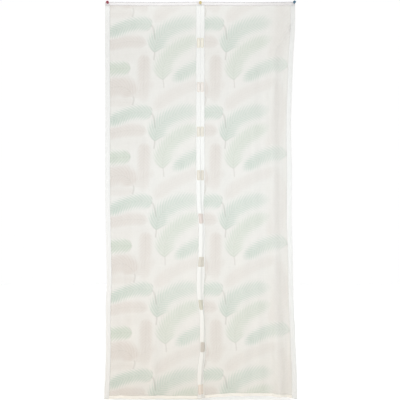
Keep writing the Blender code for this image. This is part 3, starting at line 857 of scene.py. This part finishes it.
# %% Hang the panels
PANEL_COLUMNS = 148
PANEL_ROWS = 600
panel_pieces = {}
for side, panel in PANELS.items():
    across, down = np.meshgrid(
        np.linspace(0.0, PANEL_WIDTH, PANEL_COLUMNS), np.linspace(PANEL_TOP, PANEL_BOTTOM, PANEL_ROWS)
    )
    points = hung_point(panel, across, down)
    faces = lattice_faces(PANEL_ROWS, PANEL_COLUMNS, False)
    if side == "left":
        faces = faces[:, ::-1]
        print_x = SCREEN_WIDTH / 2 - TAPE_REACH - across
    else:
        print_x = RIGHT_PANEL_SHIFT + TAPE_REACH + across
    print_y = down + PRINT_DRAWN_UP * np.maximum(0.0, down - DRAWN_UP_BELOW) ** 2
    uv = np.stack([print_x, -print_y], axis=-1)
    piece = add_piece(f"{side}_voile", points, faces.tolist(), voile, uv)
    inks, barbs = draw_print(1000 * print_x.ravel(), 1000 * print_y.ravel())
    ink_layer = piece.data.attributes.new("ink", "FLOAT_COLOR", "POINT")
    ink_layer.data.foreach_set("color", inks.ravel())
    barb_layer = piece.data.attributes.new("barbs", "FLOAT_VECTOR", "POINT")
    barb_layer.data.foreach_set("vector", barbs.ravel())
    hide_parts(f"{side}_panel")
    panel_pieces[side] = piece
    covered = (inks[:, :3].max(axis=1) > COUNTS_AS_INKED).mean()
    print(f"{piece.name}: {2 * len(faces)} triangles, inks cover {100 * covered:.0f}%")

# %% [markdown]
# ## White tape
#
# The edges are bound in woven polyester tape, denser than the voile and bright white. Its
# ribs run along the length, about 0.6 mm apart on the real tape and drawn at 1.2 mm. It lets
# only a little light through, and its surface is dull with a faint sheen from the filaments.

# %% Make the tapes
TAPE_RIB_MM = 1.2
TAPE_RIB_LENGTH_MM = 24.0
TAPE_PICK_LENGTH_MM = 18.0


def woven_tape(name, low_colour, high_colour, scatter_through, low_shade_share=1.0):
    """Woven polyester tape: ribbed along its length, dull, faintly shiny, a little see-through."""
    made, tree = start_material(name)
    place = add_node(tree, "ShaderNodeUVMap", uv_map="cloth").outputs[0]
    ribs = thread_noise(tree, place, TAPE_RIB_MM, TAPE_RIB_LENGTH_MM, 1.0)
    picks = thread_noise(tree, place, TAPE_PICK_LENGTH_MM, TAPE_RIB_MM, 1.0)
    weave = weighted_sum(tree, (ribs, 0.6), (picks, 0.4))
    layers = {0: weave, 6: linear(low_colour), 7: linear(high_colour)}
    unshaded = add_node(tree, "ShaderNodeMix", layers, data_type="RGBA").outputs[2]
    # Painted shade: the tape is darkened and warmed towards the floor, by a share of the full amount
    colour = paint_low_shade(tree, unshaded, low_shade_share)
    relief = add_node(tree, "ShaderNodeBump", {"Height": weave, "Strength": 0.25, "Distance": 0.0004})
    facing = {"Base Color": colour, "Roughness": 0.72, "Specular IOR Level": 0.3, "Sheen Weight": 0.10}
    face = add_node(tree, "ShaderNodeBsdfPrincipled", {**facing, "Normal": relief.outputs[0]})
    through = add_node(tree, "ShaderNodeBsdfTranslucent", {"Color": colour})
    halves = {"Fac": scatter_through, 1: face.outputs[0], 2: through.outputs[0]}
    body = add_node(tree, "ShaderNodeMixShader", halves)
    add_node(tree, "ShaderNodeOutputMaterial", {"Surface": body.outputs[0]})
    return made


# The painted low shade is weaker on the thin tape of the outer edges
TAPE_CLOTHS = {
    "closing_tape": woven_tape("white woven polyester tape", "#D7D6D2", "#E6E5E1", 0.04),
    "border": woven_tape("thin woven polyester tape", "#D6D5D1", "#E4E3E0", 0.06, 0.4),
    # The hem tape is white: its warmer, brighter colours paint the warm light low on the screen
    "hem": woven_tape("white_painted_warm woven polyester tape", "#E0DDD6", "#F0EDE6", 0.06),
    "heading": woven_tape("grey-white woven polyester tape", "#D6D2D0", "#E4E0DE", 0.06),
}
print(len(TAPE_CLOTHS), "kinds of tape,", len(TAPE_CLOTHS["border"].node_tree.nodes), "nodes each")

# %% Make the white thread
# Spun fibres mottle the thread about every millimetre
FUZZ_SPOTS_A_METRE = 900.0


def thread_material(name, hex_colour):
    """Spun polyester sewing thread: dull, with a soft sheen and a slight unevenness along its length."""
    made, tree = start_material(name)
    place = add_node(tree, "ShaderNodeTexCoord").outputs["Object"]
    fibres = {"Vector": place, "Scale": FUZZ_SPOTS_A_METRE, "Detail": 1.0}
    fuzz = add_node(tree, "ShaderNodeTexNoise", fibres).outputs["Fac"]
    colour = mottled(tree, fuzz, hex_colour, 0.86)
    facing = {"Base Color": colour, "Roughness": 0.65, "Sheen Weight": 0.2}
    face = add_node(tree, "ShaderNodeBsdfPrincipled", facing)
    add_node(tree, "ShaderNodeOutputMaterial", {"Surface": face.outputs[0]})
    return made


white_thread = thread_material("white spun polyester thread", "#E9E9EA")
print("thread has", len(white_thread.node_tree.nodes), "nodes")

# %% [markdown]
# ## A folded tape
#
# Binding is a strip folded over an edge and sewn through both walls. Its section is a long,
# thin U. The outer path goes down the front wall, round the fold and up the back wall, and the
# inner path comes back with the cloth's own thickness left free. A row of points round that
# section, carried along the edge, gives the whole tape. The walls dip where the stitches pull
# them in, and the free edge wanders by a fraction of a millimetre as cut tape does.

# %% Shape the section of a folded tape
# How far the seam lies from the free edge, and how deep and how wide it pulls the wall in
STITCH_INSET = 0.0030
STITCH_DIP = 0.00035
STITCH_DIP_WIDTH = 0.0014
EDGE_THINNING = 0.0004
EDGE_THINNING_WIDTH = 0.0008
WALL_POINTS = 11
FOLD_POINTS = 9


def tape_section(width):
    """Section as three arrays: distance in from the cloth's edge, reach beyond it, and height.

    A wall's height is even, and lower by two bells: one where the stitches pull it in and one at
    its free edge. Round the fold, reach follows the sine of the turn and height its cosine.
    """
    wall = np.linspace(width, 0.0, WALL_POINTS)
    turn = np.linspace(0.0, np.pi, FOLD_POINTS + 2)[1:-1]
    zero = np.zeros(WALL_POINTS)
    inward = np.concatenate([wall, 0 * turn, wall[::-1], wall, 0 * turn, wall[::-1]])
    reach = np.concatenate([zero, TAPE_REACH * np.sin(turn), zero, zero, GAP * np.sin(turn), zero])
    outer, inner = TAPE_OUTSIDE, TAPE_INSIDE
    round_fold = np.cos(turn)
    height = np.concatenate(
        [zero + outer, outer * round_fold, zero - outer, zero - inner, -inner * round_fold, zero + inner]
    )
    dip = STITCH_DIP * np.exp(-(((inward - (width - STITCH_INSET)) / STITCH_DIP_WIDTH) ** 2))
    thinning = EDGE_THINNING * np.exp(-(((inward - width) / EDGE_THINNING_WIDTH) ** 2))
    outside = np.abs(height) > 0.5 * (outer + inner)
    return inward, reach, height - np.sign(height) * np.where(outside, dip + thinning, 0.0)


print("a section has", len(tape_section(BORDER_WIDTH)[0]), "points")

# %% Carry the section along an edge
TAPE_STEP = 0.005
# How a cut edge wanders: two waves, each a height and a length, from a share of the width outwards
CUT_WAVES = ((0.00025, 0.037), (0.0002, 0.0113))
WANDERS_FROM = 0.6


def evenly(start, end):
    """Places from start to end, about one tape step apart."""
    return np.linspace(start, end, int((end - start) / TAPE_STEP))


# A folded tape: its piece, its flat size, the cloth's frame along its edge, the places along it
# and how wide its walls are
FoldedTape = namedtuple("FoldedTape", "piece flat frame_at along width")
tapes = {}


def fold_tape(name, node, cloth, frame_at, along, width):
    """Add a tape folded over an edge, in place of a node of the model.

    The section is carried along the edge. frame_at gives the cloth's point, normal and outward
    direction from two arrays: how far in from the edge, and how far along it.
    """
    inward, reach, height = tape_section(width)
    section, along_grid = np.meshgrid(inward, along)
    wander = sum(high * np.sin(along_grid * 2 * np.pi / length) for high, length in CUT_WAVES)
    section = section + wander * ease(WANDERS_FROM * width, width, section)
    point, normal, outward = frame_at(section, along_grid)
    points = point + normal * height[:, None] + outward * reach[:, None]
    steps = np.linalg.norm(np.diff(points[0], axis=0), axis=-1)
    around = np.broadcast_to(np.concatenate([[0.0], np.cumsum(steps)]), along_grid.shape)
    uv = np.stack([around, along_grid], axis=-1)
    piece = add_tube(f"{name}_tape", points, cloth, uv)
    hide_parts(node)
    flat = (2 * width + np.pi * TAPE_OUTSIDE, float(along[-1] - along[0]))
    tapes[name] = FoldedTape(piece, flat, frame_at, along, width)
    print(f"{piece.name}: {flat[0] * 1000:.0f} mm wide when flat, {flat[1]:.3f} m long")


print("a tape has a section every", 1000 * TAPE_STEP, "mm")

# %% Fold tapes over the side edges
TAPE_END_GAP = 0.0002
side_along = evenly(HEADING_HEIGHT + GAP, SCREEN_HEIGHT - TAPE_END_GAP)
for side, panel in PANELS.items():

    def border_frame(inward, along, panel=panel):
        """The cloth's frame counted in from its outer edge."""
        point, normal, outward, _ = hung_frame(panel, PANEL_WIDTH - inward, along)
        return point, normal, outward

    def closing_frame(inward, along, panel=panel):
        """The cloth's frame counted in from its closing edge."""
        point, normal, outward, _ = hung_frame(panel, inward, along)
        return point, normal, -outward

    for kind, frame_at, width in (
        ("border", border_frame, BORDER_WIDTH - TAPE_REACH),
        ("closing_tape", closing_frame, CLOSING_WIDTH - TAPE_REACH),
    ):
        name = f"{side}_{kind}"
        fold_tape(name, name, TAPE_CLOTHS[kind], frame_at, side_along, width)
print(len(tapes), "side tapes folded")

# %% [markdown]
# ## Hem bindings and heading
#
# The hem is bound in the same way between the two side tapes. The heading is one longer strip
# over both panels. It lies flat against the door frame, so it has no folds, but it sags a
# little between the pins that hold it.

# %% Add the hems and the heading
hem_along = evenly(CLOSING_LINE + GAP, BORDER_LINE - GAP)
for side, panel in PANELS.items():

    def hem_frame(inward, along, panel=panel):
        """The cloth's frame counted up from its bottom edge."""
        point, normal, _, downward = hung_frame(panel, along, PANEL_BOTTOM - inward)
        return point, normal, downward

    name = f"{side}_hem"
    width = HEM_HEIGHT - TAPE_REACH
    fold_tape(name, f"{name}_binding", TAPE_CLOTHS["hem"], hem_frame, hem_along, width)


def heading_frame(inward, along):
    """A flat upright strip: x is the distance along, z follows the sag between the pins."""
    z = -PANEL_TOP - heading_sag(along) - inward
    point = np.stack([along, np.full(along.shape, -MIDDLE_DEPTH), z], axis=-1)
    forward = np.broadcast_to([0.0, -1.0, 0.0], point.shape)
    upward = np.broadcast_to([0.0, 0.0, 1.0], point.shape)
    return point, forward, upward


heading_low, heading_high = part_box("heading")
heading_along = evenly(heading_low[0], heading_high[0])
width = HEADING_HEIGHT - TAPE_REACH
fold_tape("heading", "heading", TAPE_CLOTHS["heading"], heading_frame, heading_along, width)
print(len(tapes), "tapes folded in all")

# %% [markdown]
# ## Magnet pockets
#
# Nine pairs of flat bar magnets hold the opening shut. Each sits in a small oblong of firm
# beige cloth, folded under and sewn to the front of the closing tape. The shape is a low
# cushion with a flat rim: its height depends only on how far a point is from the middle, as a
# share of the way to the edge, with the magnet as the plateau.

# %% Make the pocket cloth
# Drill has a thread every 0.4 mm, and these are drawn coarser so that they show
POCKET_THREAD_MM = 1.5
POCKET_SLUB_MM = 12.0
MAGNET_DROPS = (0.2185, 0.4530, 0.6885, 0.9190, 1.1480, 1.3765, 1.6035, 1.8270, 2.0510)
POCKET_WIDTH = 0.017
POCKET_HEIGHT = 0.053
POCKET_DEPTH = 0.0030
POCKET_INSET = -0.0005

# The lower pockets are given darker, browner colours, all but the last: painted shade for the dimmer
# light low on the screen
POCKET_COLOURS_AND_SHADE = (
    "#E3DED0", "#E3DCD5", "#DCD7CB", "#D8D2C6", "#D5C9C2", "#CDC7BB", "#C9C5B5", "#C7BEB3", "#E1D4C7",
)


def pocket_material(name, hex_colour):
    """Woven cotton and polyester drill: matte, with threads that pass over and under each other."""
    made, tree = start_material(name)
    place = add_node(tree, "ShaderNodeUVMap", uv_map="cloth").outputs[0]
    warp = thread_noise(tree, place, POCKET_THREAD_MM, POCKET_SLUB_MM, 1.0)
    weft = thread_noise(tree, place, POCKET_SLUB_MM, POCKET_THREAD_MM, 1.0)
    weave = weighted_sum(tree, (warp, 0.5), (weft, 0.5))
    relief = add_node(tree, "ShaderNodeBump", {"Height": weave, "Strength": 0.35, "Distance": 0.0005})
    colour = mottled(tree, weave, hex_colour, 0.80)
    facing = {"Base Color": colour, "Roughness": 0.85, "Sheen Weight": 0.1, "Normal": relief.outputs[0]}
    face = add_node(tree, "ShaderNodeBsdfPrincipled", facing)
    add_node(tree, "ShaderNodeOutputMaterial", {"Surface": face.outputs[0]})
    return made


print(len(MAGNET_DROPS), "pairs of pockets, the last", MAGNET_DROPS[-1], "m down")

# %% Shape of a pocket
POCKET_ANGLES = 64
POCKET_SQUARENESS = 7.0
# A ring of the pocket: its shares of the way from the middle to the edge and of the full height
PocketRing = namedtuple("PocketRing", "share height")
SEWN_RING = PocketRing(0.89, 0.36)
POCKET_RINGS = (
    PocketRing(0.03, 1.00),
    PocketRing(0.35, 1.00),
    PocketRing(0.62, 0.98),
    PocketRing(0.68, 0.90),
    PocketRing(0.73, 0.66),
    PocketRing(0.78, 0.46),
    PocketRing(0.84, 0.38),
    SEWN_RING,
    PocketRing(0.93, 0.42),
    PocketRing(0.97, 0.40),
    PocketRing(1.00, 0.22),
    PocketRing(0.99, 0.04),
    PocketRing(0.95, 0.00),
    PocketRing(0.60, 0.00),
    PocketRing(0.03, 0.00),
)


def rounded_square(count, squareness):
    """Points round a soft-cornered square: cosine and sine, with their size raised to 2 / squareness."""
    angle = np.linspace(0.0, 2 * np.pi, count, endpoint=False)
    sides = np.stack([np.cos(angle), np.sin(angle)], axis=-1)
    return np.sign(sides) * np.abs(sides) ** (2 / squareness)


print("a pocket has", len(POCKET_RINGS), "rings of", POCKET_ANGLES, "points")

# %% Sew the pockets on
# The rim puckers between stitches by a share of its height
PUCKER = 0.10
PUCKER_LENGTH = 0.0085
PUCKERS_FROM = 0.8

pocket_middle = POCKET_INSET + POCKET_WIDTH / 2
outline = rounded_square(POCKET_ANGLES, POCKET_SQUARENESS) * (POCKET_WIDTH / 2, POCKET_HEIGHT / 2)
ring_share = np.array([ring.share for ring in POCKET_RINGS])[:, None]
ring_height = np.array([ring.height for ring in POCKET_RINGS])[:, None]
for number, (drop, hex_colour) in enumerate(zip(MAGNET_DROPS, POCKET_COLOURS_AND_SHADE), start=1):
    cloth = pocket_material(f"beige drill, pocket pair {number}", hex_colour)
    for side, panel in PANELS.items():
        local = outline[None, :, :] * ring_share[:, :, None]
        point, normal, _, _ = hung_frame(panel, pocket_middle + local[..., 0], drop + local[..., 1])
        wave = np.sin(local[..., 1] * 2 * np.pi / PUCKER_LENGTH + number)
        pucker = 1.0 + PUCKER * wave * (ring_share > PUCKERS_FROM)
        height = TAPE_OUTSIDE + GAP + POCKET_DEPTH * ring_height * pucker
        points = point + normal * height[..., None]
        piece = add_tube(f"{side}_pocket_{number}", points, cloth, local)
        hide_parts(f"{side}_magnet_{number}")

# %% [markdown]
# ## Push pins
#
# A push pin is an injection-moulded grip with a steel needle set in its base. The grip is a
# turned shape: a flange at the foot, a narrow waist for finger and thumb, and a wider knob.
# A smooth curve through a few rings gives its outline, and the outline is spun round an axis.
# Polystyrene takes the polish of its mould, so it is glossy, and a little light gets into it.

# %% Make the plastic and the steel
# Flow marks are about 4 mm apart. Drawn lines are 0.25 mm apart and 17 mm long.
FLOW_MARKS_A_METRE = 240.0
DRAWN_LINES_A_METRE = (4000.0, 60.0, 4000.0)


def polystyrene(name, hex_colour):
    """Injection-moulded polystyrene: a polished, slightly translucent plastic with faint flow marks."""
    made, tree = start_material(name)
    place = add_node(tree, "ShaderNodeTexCoord").outputs["Object"]
    streaks = {"Vector": place, "Scale": FLOW_MARKS_A_METRE, "Detail": 2.0}
    flow = add_node(tree, "ShaderNodeTexNoise", streaks).outputs["Fac"]
    polish = {"Value": flow, "To Min": 0.14, "To Max": 0.26}
    shine = add_node(tree, "ShaderNodeMapRange", polish).outputs["Result"]
    facing = {"Base Color": mottled(tree, flow, hex_colour, 0.85), "Roughness": shine, "IOR": 1.59}
    depth = {"Subsurface Weight": 0.12, "Subsurface Scale": 0.002}
    face = add_node(tree, "ShaderNodeBsdfPrincipled", {**facing, **depth})
    add_node(tree, "ShaderNodeOutputMaterial", {"Surface": face.outputs[0]})
    return made


# Nickel keeps the wire bright, and drawing leaves fine lines along it that stretch its shine
steel, tree = start_material("nickel-plated drawn steel wire")
place = add_node(tree, "ShaderNodeTexCoord").outputs["Object"]
drawn = add_node(tree, "ShaderNodeMapping", {"Vector": place, "Scale": DRAWN_LINES_A_METRE})
lines = {"Vector": drawn.outputs[0], "Scale": 1.0}
scratches = add_node(tree, "ShaderNodeTexNoise", lines).outputs["Fac"]
polish = {"Value": scratches, "To Min": 0.16, "To Max": 0.34}
shine = add_node(tree, "ShaderNodeMapRange", polish).outputs["Result"]
facing = {"Base Color": linear("#C6C6C4"), "Roughness": shine, "Metallic": 1.0}
face = add_node(tree, "ShaderNodeBsdfPrincipled", facing)
add_node(tree, "ShaderNodeOutputMaterial", {"Surface": face.outputs[0]})
print("steel has", len(tree.nodes), "nodes")

# %% Draw the outline of a pin
# A push pin: where it stands across the heading, how far down, and its plastic's colour
Pin = namedtuple("Pin", "x drop colour")
PINS = {
    "red": Pin(-0.4915, 0.0042, "#86303F"),
    "yellow": Pin(0.0, 0.0060, "#BDAC78"),
    "blue": Pin(PIN_SPAN, 0.0030, "#45697F"),
}
# A ring of the pin's outline: height in front of the heading and radius, in millimetres
PIN_HEAD_RINGS = (
    (0.00, 1.50), (0.00, 6.10), (0.30, 6.90), (0.85, 7.05), (1.40, 6.90), (1.75, 6.10), (2.10, 4.90),
    (2.65, 4.20), (4.30, 4.05), (6.25, 4.20), (7.90, 4.55), (9.35, 5.40), (10.55, 6.50), (11.50, 7.25),
    (12.50, 7.55), (13.45, 7.50), (14.10, 6.90), (14.40, 5.40), (14.45, 3.00), (14.45, 0.30),
)
NEEDLE_RINGS = ((-10.90, 0.05), (-10.00, 0.28), (-8.70, 0.58), (-8.40, 0.60), (5.70, 0.60), (5.90, 0.30))


def smooth_rings(rings, repeats=3):
    """Points of a smooth curve through the rings, by cubic steps that keep the neighbours' slope."""
    points = np.array(rings, float) / 1000
    for _ in range(repeats):
        padded = np.concatenate([points[:1], points, points[-1:]])
        middles = (9 * (padded[1:-2] + padded[2:-1]) - padded[:-3] - padded[3:]) / 16
        finer = np.empty((2 * len(points) - 1, 2))
        finer[0::2] = points
        finer[1::2] = middles
        points = finer
    return points


print("a grip's outline has", len(smooth_rings(PIN_HEAD_RINGS)), "points")

# %% Turn the pins
HEADING_FRONT = 2 * TAPE_OUTSIDE
PIN_SEGMENTS = 48
# A tip keeps this radius, so that its ring doesn't shrink to one point
LEAST_PIN_RADIUS = 0.00003


def turned_piece(name, rings, pin, material):
    """Spin an outline round a forward axis: radius times cosine across, and times sine up."""
    outline = smooth_rings(rings)
    angle = np.linspace(0.0, 2 * np.pi, PIN_SEGMENTS, endpoint=False)
    radius = np.maximum(outline[:, 1:], LEAST_PIN_RADIUS)
    across = pin.x + radius * np.cos(angle)
    up = -pin.drop + radius * np.sin(angle)
    forward = np.broadcast_to(-(HEADING_FRONT + GAP) - outline[:, :1], across.shape)
    return add_tube(name, np.stack([across, forward, up], axis=-1), material, None)


for name, pin in PINS.items():
    plastic = polystyrene(f"{name} moulded polystyrene", pin.colour)
    grip = turned_piece(f"{name}_grip", PIN_HEAD_RINGS, pin, plastic)
    needle = turned_piece(f"{name}_needle", NEEDLE_RINGS, pin, steel)
    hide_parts(f"{name}_pin_head")
    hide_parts(f"{name}_pin_needle")
    print(f"{name} pin: {len(grip.data.polygons)} faces")

# %% [markdown]
# ## Stitches
#
# Lockstitch holds the tapes: a row of short thread lengths on each face, each dipping into the
# cloth at both ends. Real stitches are 3 mm long and 0.3 mm thick. They are drawn at twice that
# thickness and a little longer, so that they still show. A stitch is a five-sided spindle, and a
# whole row is one joined mesh, made by adding one small array of offsets to many places at once.

# %% Define a row of stitches
STITCH_PITCH = 0.0050
STITCH_LENGTH = 0.0038
STITCH_RADIUS = 0.00032
# A stitch's middle line stands this share of its radius above the cloth
STITCH_PROUD = 0.4
# A ring of the spindle: its place along the stitch and its radius, as shares
SPINDLE_RINGS = ((-0.50, 0.35), (-0.28, 0.95), (0.28, 0.95), (0.50, 0.35))
SPINDLE_SIDES = 5


def stitches(points, forward, direction, length=STITCH_LENGTH):
    """Vertices and faces of spindles at some points, each lying along a direction and facing forward."""
    aside = unit(np.cross(forward, direction))
    angle = np.arange(SPINDLE_SIDES) * 2 * np.pi / SPINDLE_SIDES
    along = np.repeat([ring[0] for ring in SPINDLE_RINGS], SPINDLE_SIDES) * length
    radius = np.repeat([ring[1] for ring in SPINDLE_RINGS], SPINDLE_SIDES) * STITCH_RADIUS
    cosine = np.tile(np.cos(angle), len(SPINDLE_RINGS)) * radius
    sine = np.tile(np.sin(angle), len(SPINDLE_RINGS)) * radius
    corners = points[:, None] + direction[:, None] * along[:, None]
    corners = corners + aside[:, None] * cosine[:, None] + forward[:, None] * sine[:, None]
    count = len(along)
    quads = lattice_faces(len(SPINDLE_RINGS), SPINDLE_SIDES, True)
    first = np.arange(SPINDLE_SIDES)[::-1]
    last = np.arange(count - SPINDLE_SIDES, count)
    if volume(corners[0] - corners[0].mean(axis=0), quads) < 0:
        quads, first, last = quads[:, ::-1], first[::-1], last[::-1]
    start = np.arange(len(points))[:, None, None] * count
    faces = (quads[None] + start).reshape(-1, 4).tolist()
    for cap in (first, last):
        faces += (cap[None] + start[:, 0]).tolist()
    return corners.reshape(-1, 3), faces


print("a stitch has", len(SPINDLE_RINGS) * SPINDLE_SIDES, "corners")


# %% Define a seam on both faces of a tape
def join(parts):
    """Join lists of vertices and faces into one."""
    points, faces, count = [], [], 0
    for part_points, part_faces in parts:
        points.append(part_points)
        faces += [[corner + count for corner in face] for face in part_faces]
        count += len(part_points)
    return np.concatenate(points), faces


def tape_stitches(tape):
    """Rows of stitches on both faces of a folded tape, close to its free edge."""
    places = np.arange(tape.along[0] + STITCH_PITCH, tape.along[-1] - STITCH_PITCH / 2, STITCH_PITCH)
    inward = np.full(places.shape, tape.width - STITCH_INSET)
    point, normal, _ = tape.frame_at(inward, places)
    ahead, _, _ = tape.frame_at(inward, places + DIRECTION_STEP)
    direction = unit(ahead - point)
    lift = TAPE_OUTSIDE - STITCH_DIP + STITCH_PROUD * STITCH_RADIUS
    faces_out = (normal, -normal)
    return join([stitches(point + out * lift, out, direction) for out in faces_out])


print("the heading's seam has", len(tape_stitches(tapes["heading"])[1]), "faces")

# %% Sew every seam
# The heading's thread is a dark grey, which also paints the shade along the heading's edges
grey_thread_and_shade = thread_material("grey spun polyester thread", "#7C7D80")
for name, tape in tapes.items():
    points, faces = tape_stitches(tape)
    thread = grey_thread_and_shade if name == "heading" else white_thread
    add_piece(f"{name}_thread", points, faces, thread, None)

# %% [markdown]
# ## Overlocked top edge
#
# The heading's top edge is overlocked: a machine wraps thread round it in loops that stand square to the
# edge. In the picture they melt into one fine grey line. Their dark grey also paints the shade along
# that edge. Every other loop leans a little the other way. The loops stop short of the pins, whose feet
# press on the cloth.

# %% Overlock the heading
OVERLOCK_PITCH = 0.0025
OVERLOCK_LENGTH = 0.0054
OVERLOCK_STANDS = 0.0012
OVERLOCK_LEAN = 0.15
PIN_CLEARANCE = 0.0085
first, last = heading_along[0] + OVERLOCK_PITCH, heading_along[-1] - OVERLOCK_PITCH
places = np.arange(first, last, OVERLOCK_PITCH)
pin_places = np.array([pin.x for pin in PINS.values()])
places = places[np.abs(places[:, None] - pin_places).min(axis=1) > PIN_CLEARANCE]
loop_middle = OVERLOCK_LENGTH / 2 - OVERLOCK_STANDS - TAPE_REACH
point, normal, upward = heading_frame(np.full(places.shape, loop_middle), places)
lean = np.where(np.arange(len(places)) % 2, OVERLOCK_LEAN, -OVERLOCK_LEAN)
direction = unit(upward + lean[:, None] * np.array([1.0, 0.0, 0.0]))
point = point + normal * (TAPE_OUTSIDE + STITCH_PROUD * STITCH_RADIUS)
points, faces = stitches(point, normal, direction, OVERLOCK_LENGTH)
overlock = add_piece("heading_overlock", points, faces, grey_thread_and_shade, None)
print(len(places), "overlock loops")

# %% [markdown]
# ## Pocket seams
#
# Each pocket is sewn down all round, close to its edge. The stitches follow the pocket's own
# outline, on the ring where its rim is pulled lowest, and are spaced evenly along it.

# %% Sew round the pockets
POCKET_STITCHES = 34
POCKET_STITCH_PROUD = 0.3
RING_POINTS = 720
beige_thread = thread_material("beige spun polyester thread", "#CFC6AE")
ring = rounded_square(RING_POINTS, POCKET_SQUARENESS) * (POCKET_WIDTH / 2, POCKET_HEIGHT / 2)
ring = ring * SEWN_RING.share
walked = np.concatenate([[0.0], np.cumsum(np.linalg.norm(np.diff(ring, axis=0), axis=-1))])
wanted = np.linspace(0.0, walked[-1], POCKET_STITCHES, endpoint=False)
x, y = (np.interp(wanted, walked, ring[:, i]) for i in (0, 1))
lift = TAPE_OUTSIDE + GAP + SEWN_RING.height * POCKET_DEPTH + POCKET_STITCH_PROUD * STITCH_RADIUS
for side, panel in PANELS.items():
    parts = []
    for drop in MAGNET_DROPS:
        point, normal, _, _ = hung_frame(panel, pocket_middle + x, drop + y)
        point = point + normal * lift
        direction = unit(np.roll(point, -1, axis=0) - np.roll(point, 1, axis=0))
        parts.append(stitches(point, normal, direction))
    points, faces = join(parts)
    thread = add_piece(f"{side}_pocket_thread", points, faces, beige_thread, None)
    print(f"{thread.name}: {len(faces)} faces")

# %% [markdown]
# ## Say what is cloth
#
# Pockets are small filled pieces, so they are named as padded.

for side, piece in panel_pieces.items():
    for name in (f"{side}_border", f"{side}_closing_tape", f"{side}_hem"):
        tape = tapes[name]
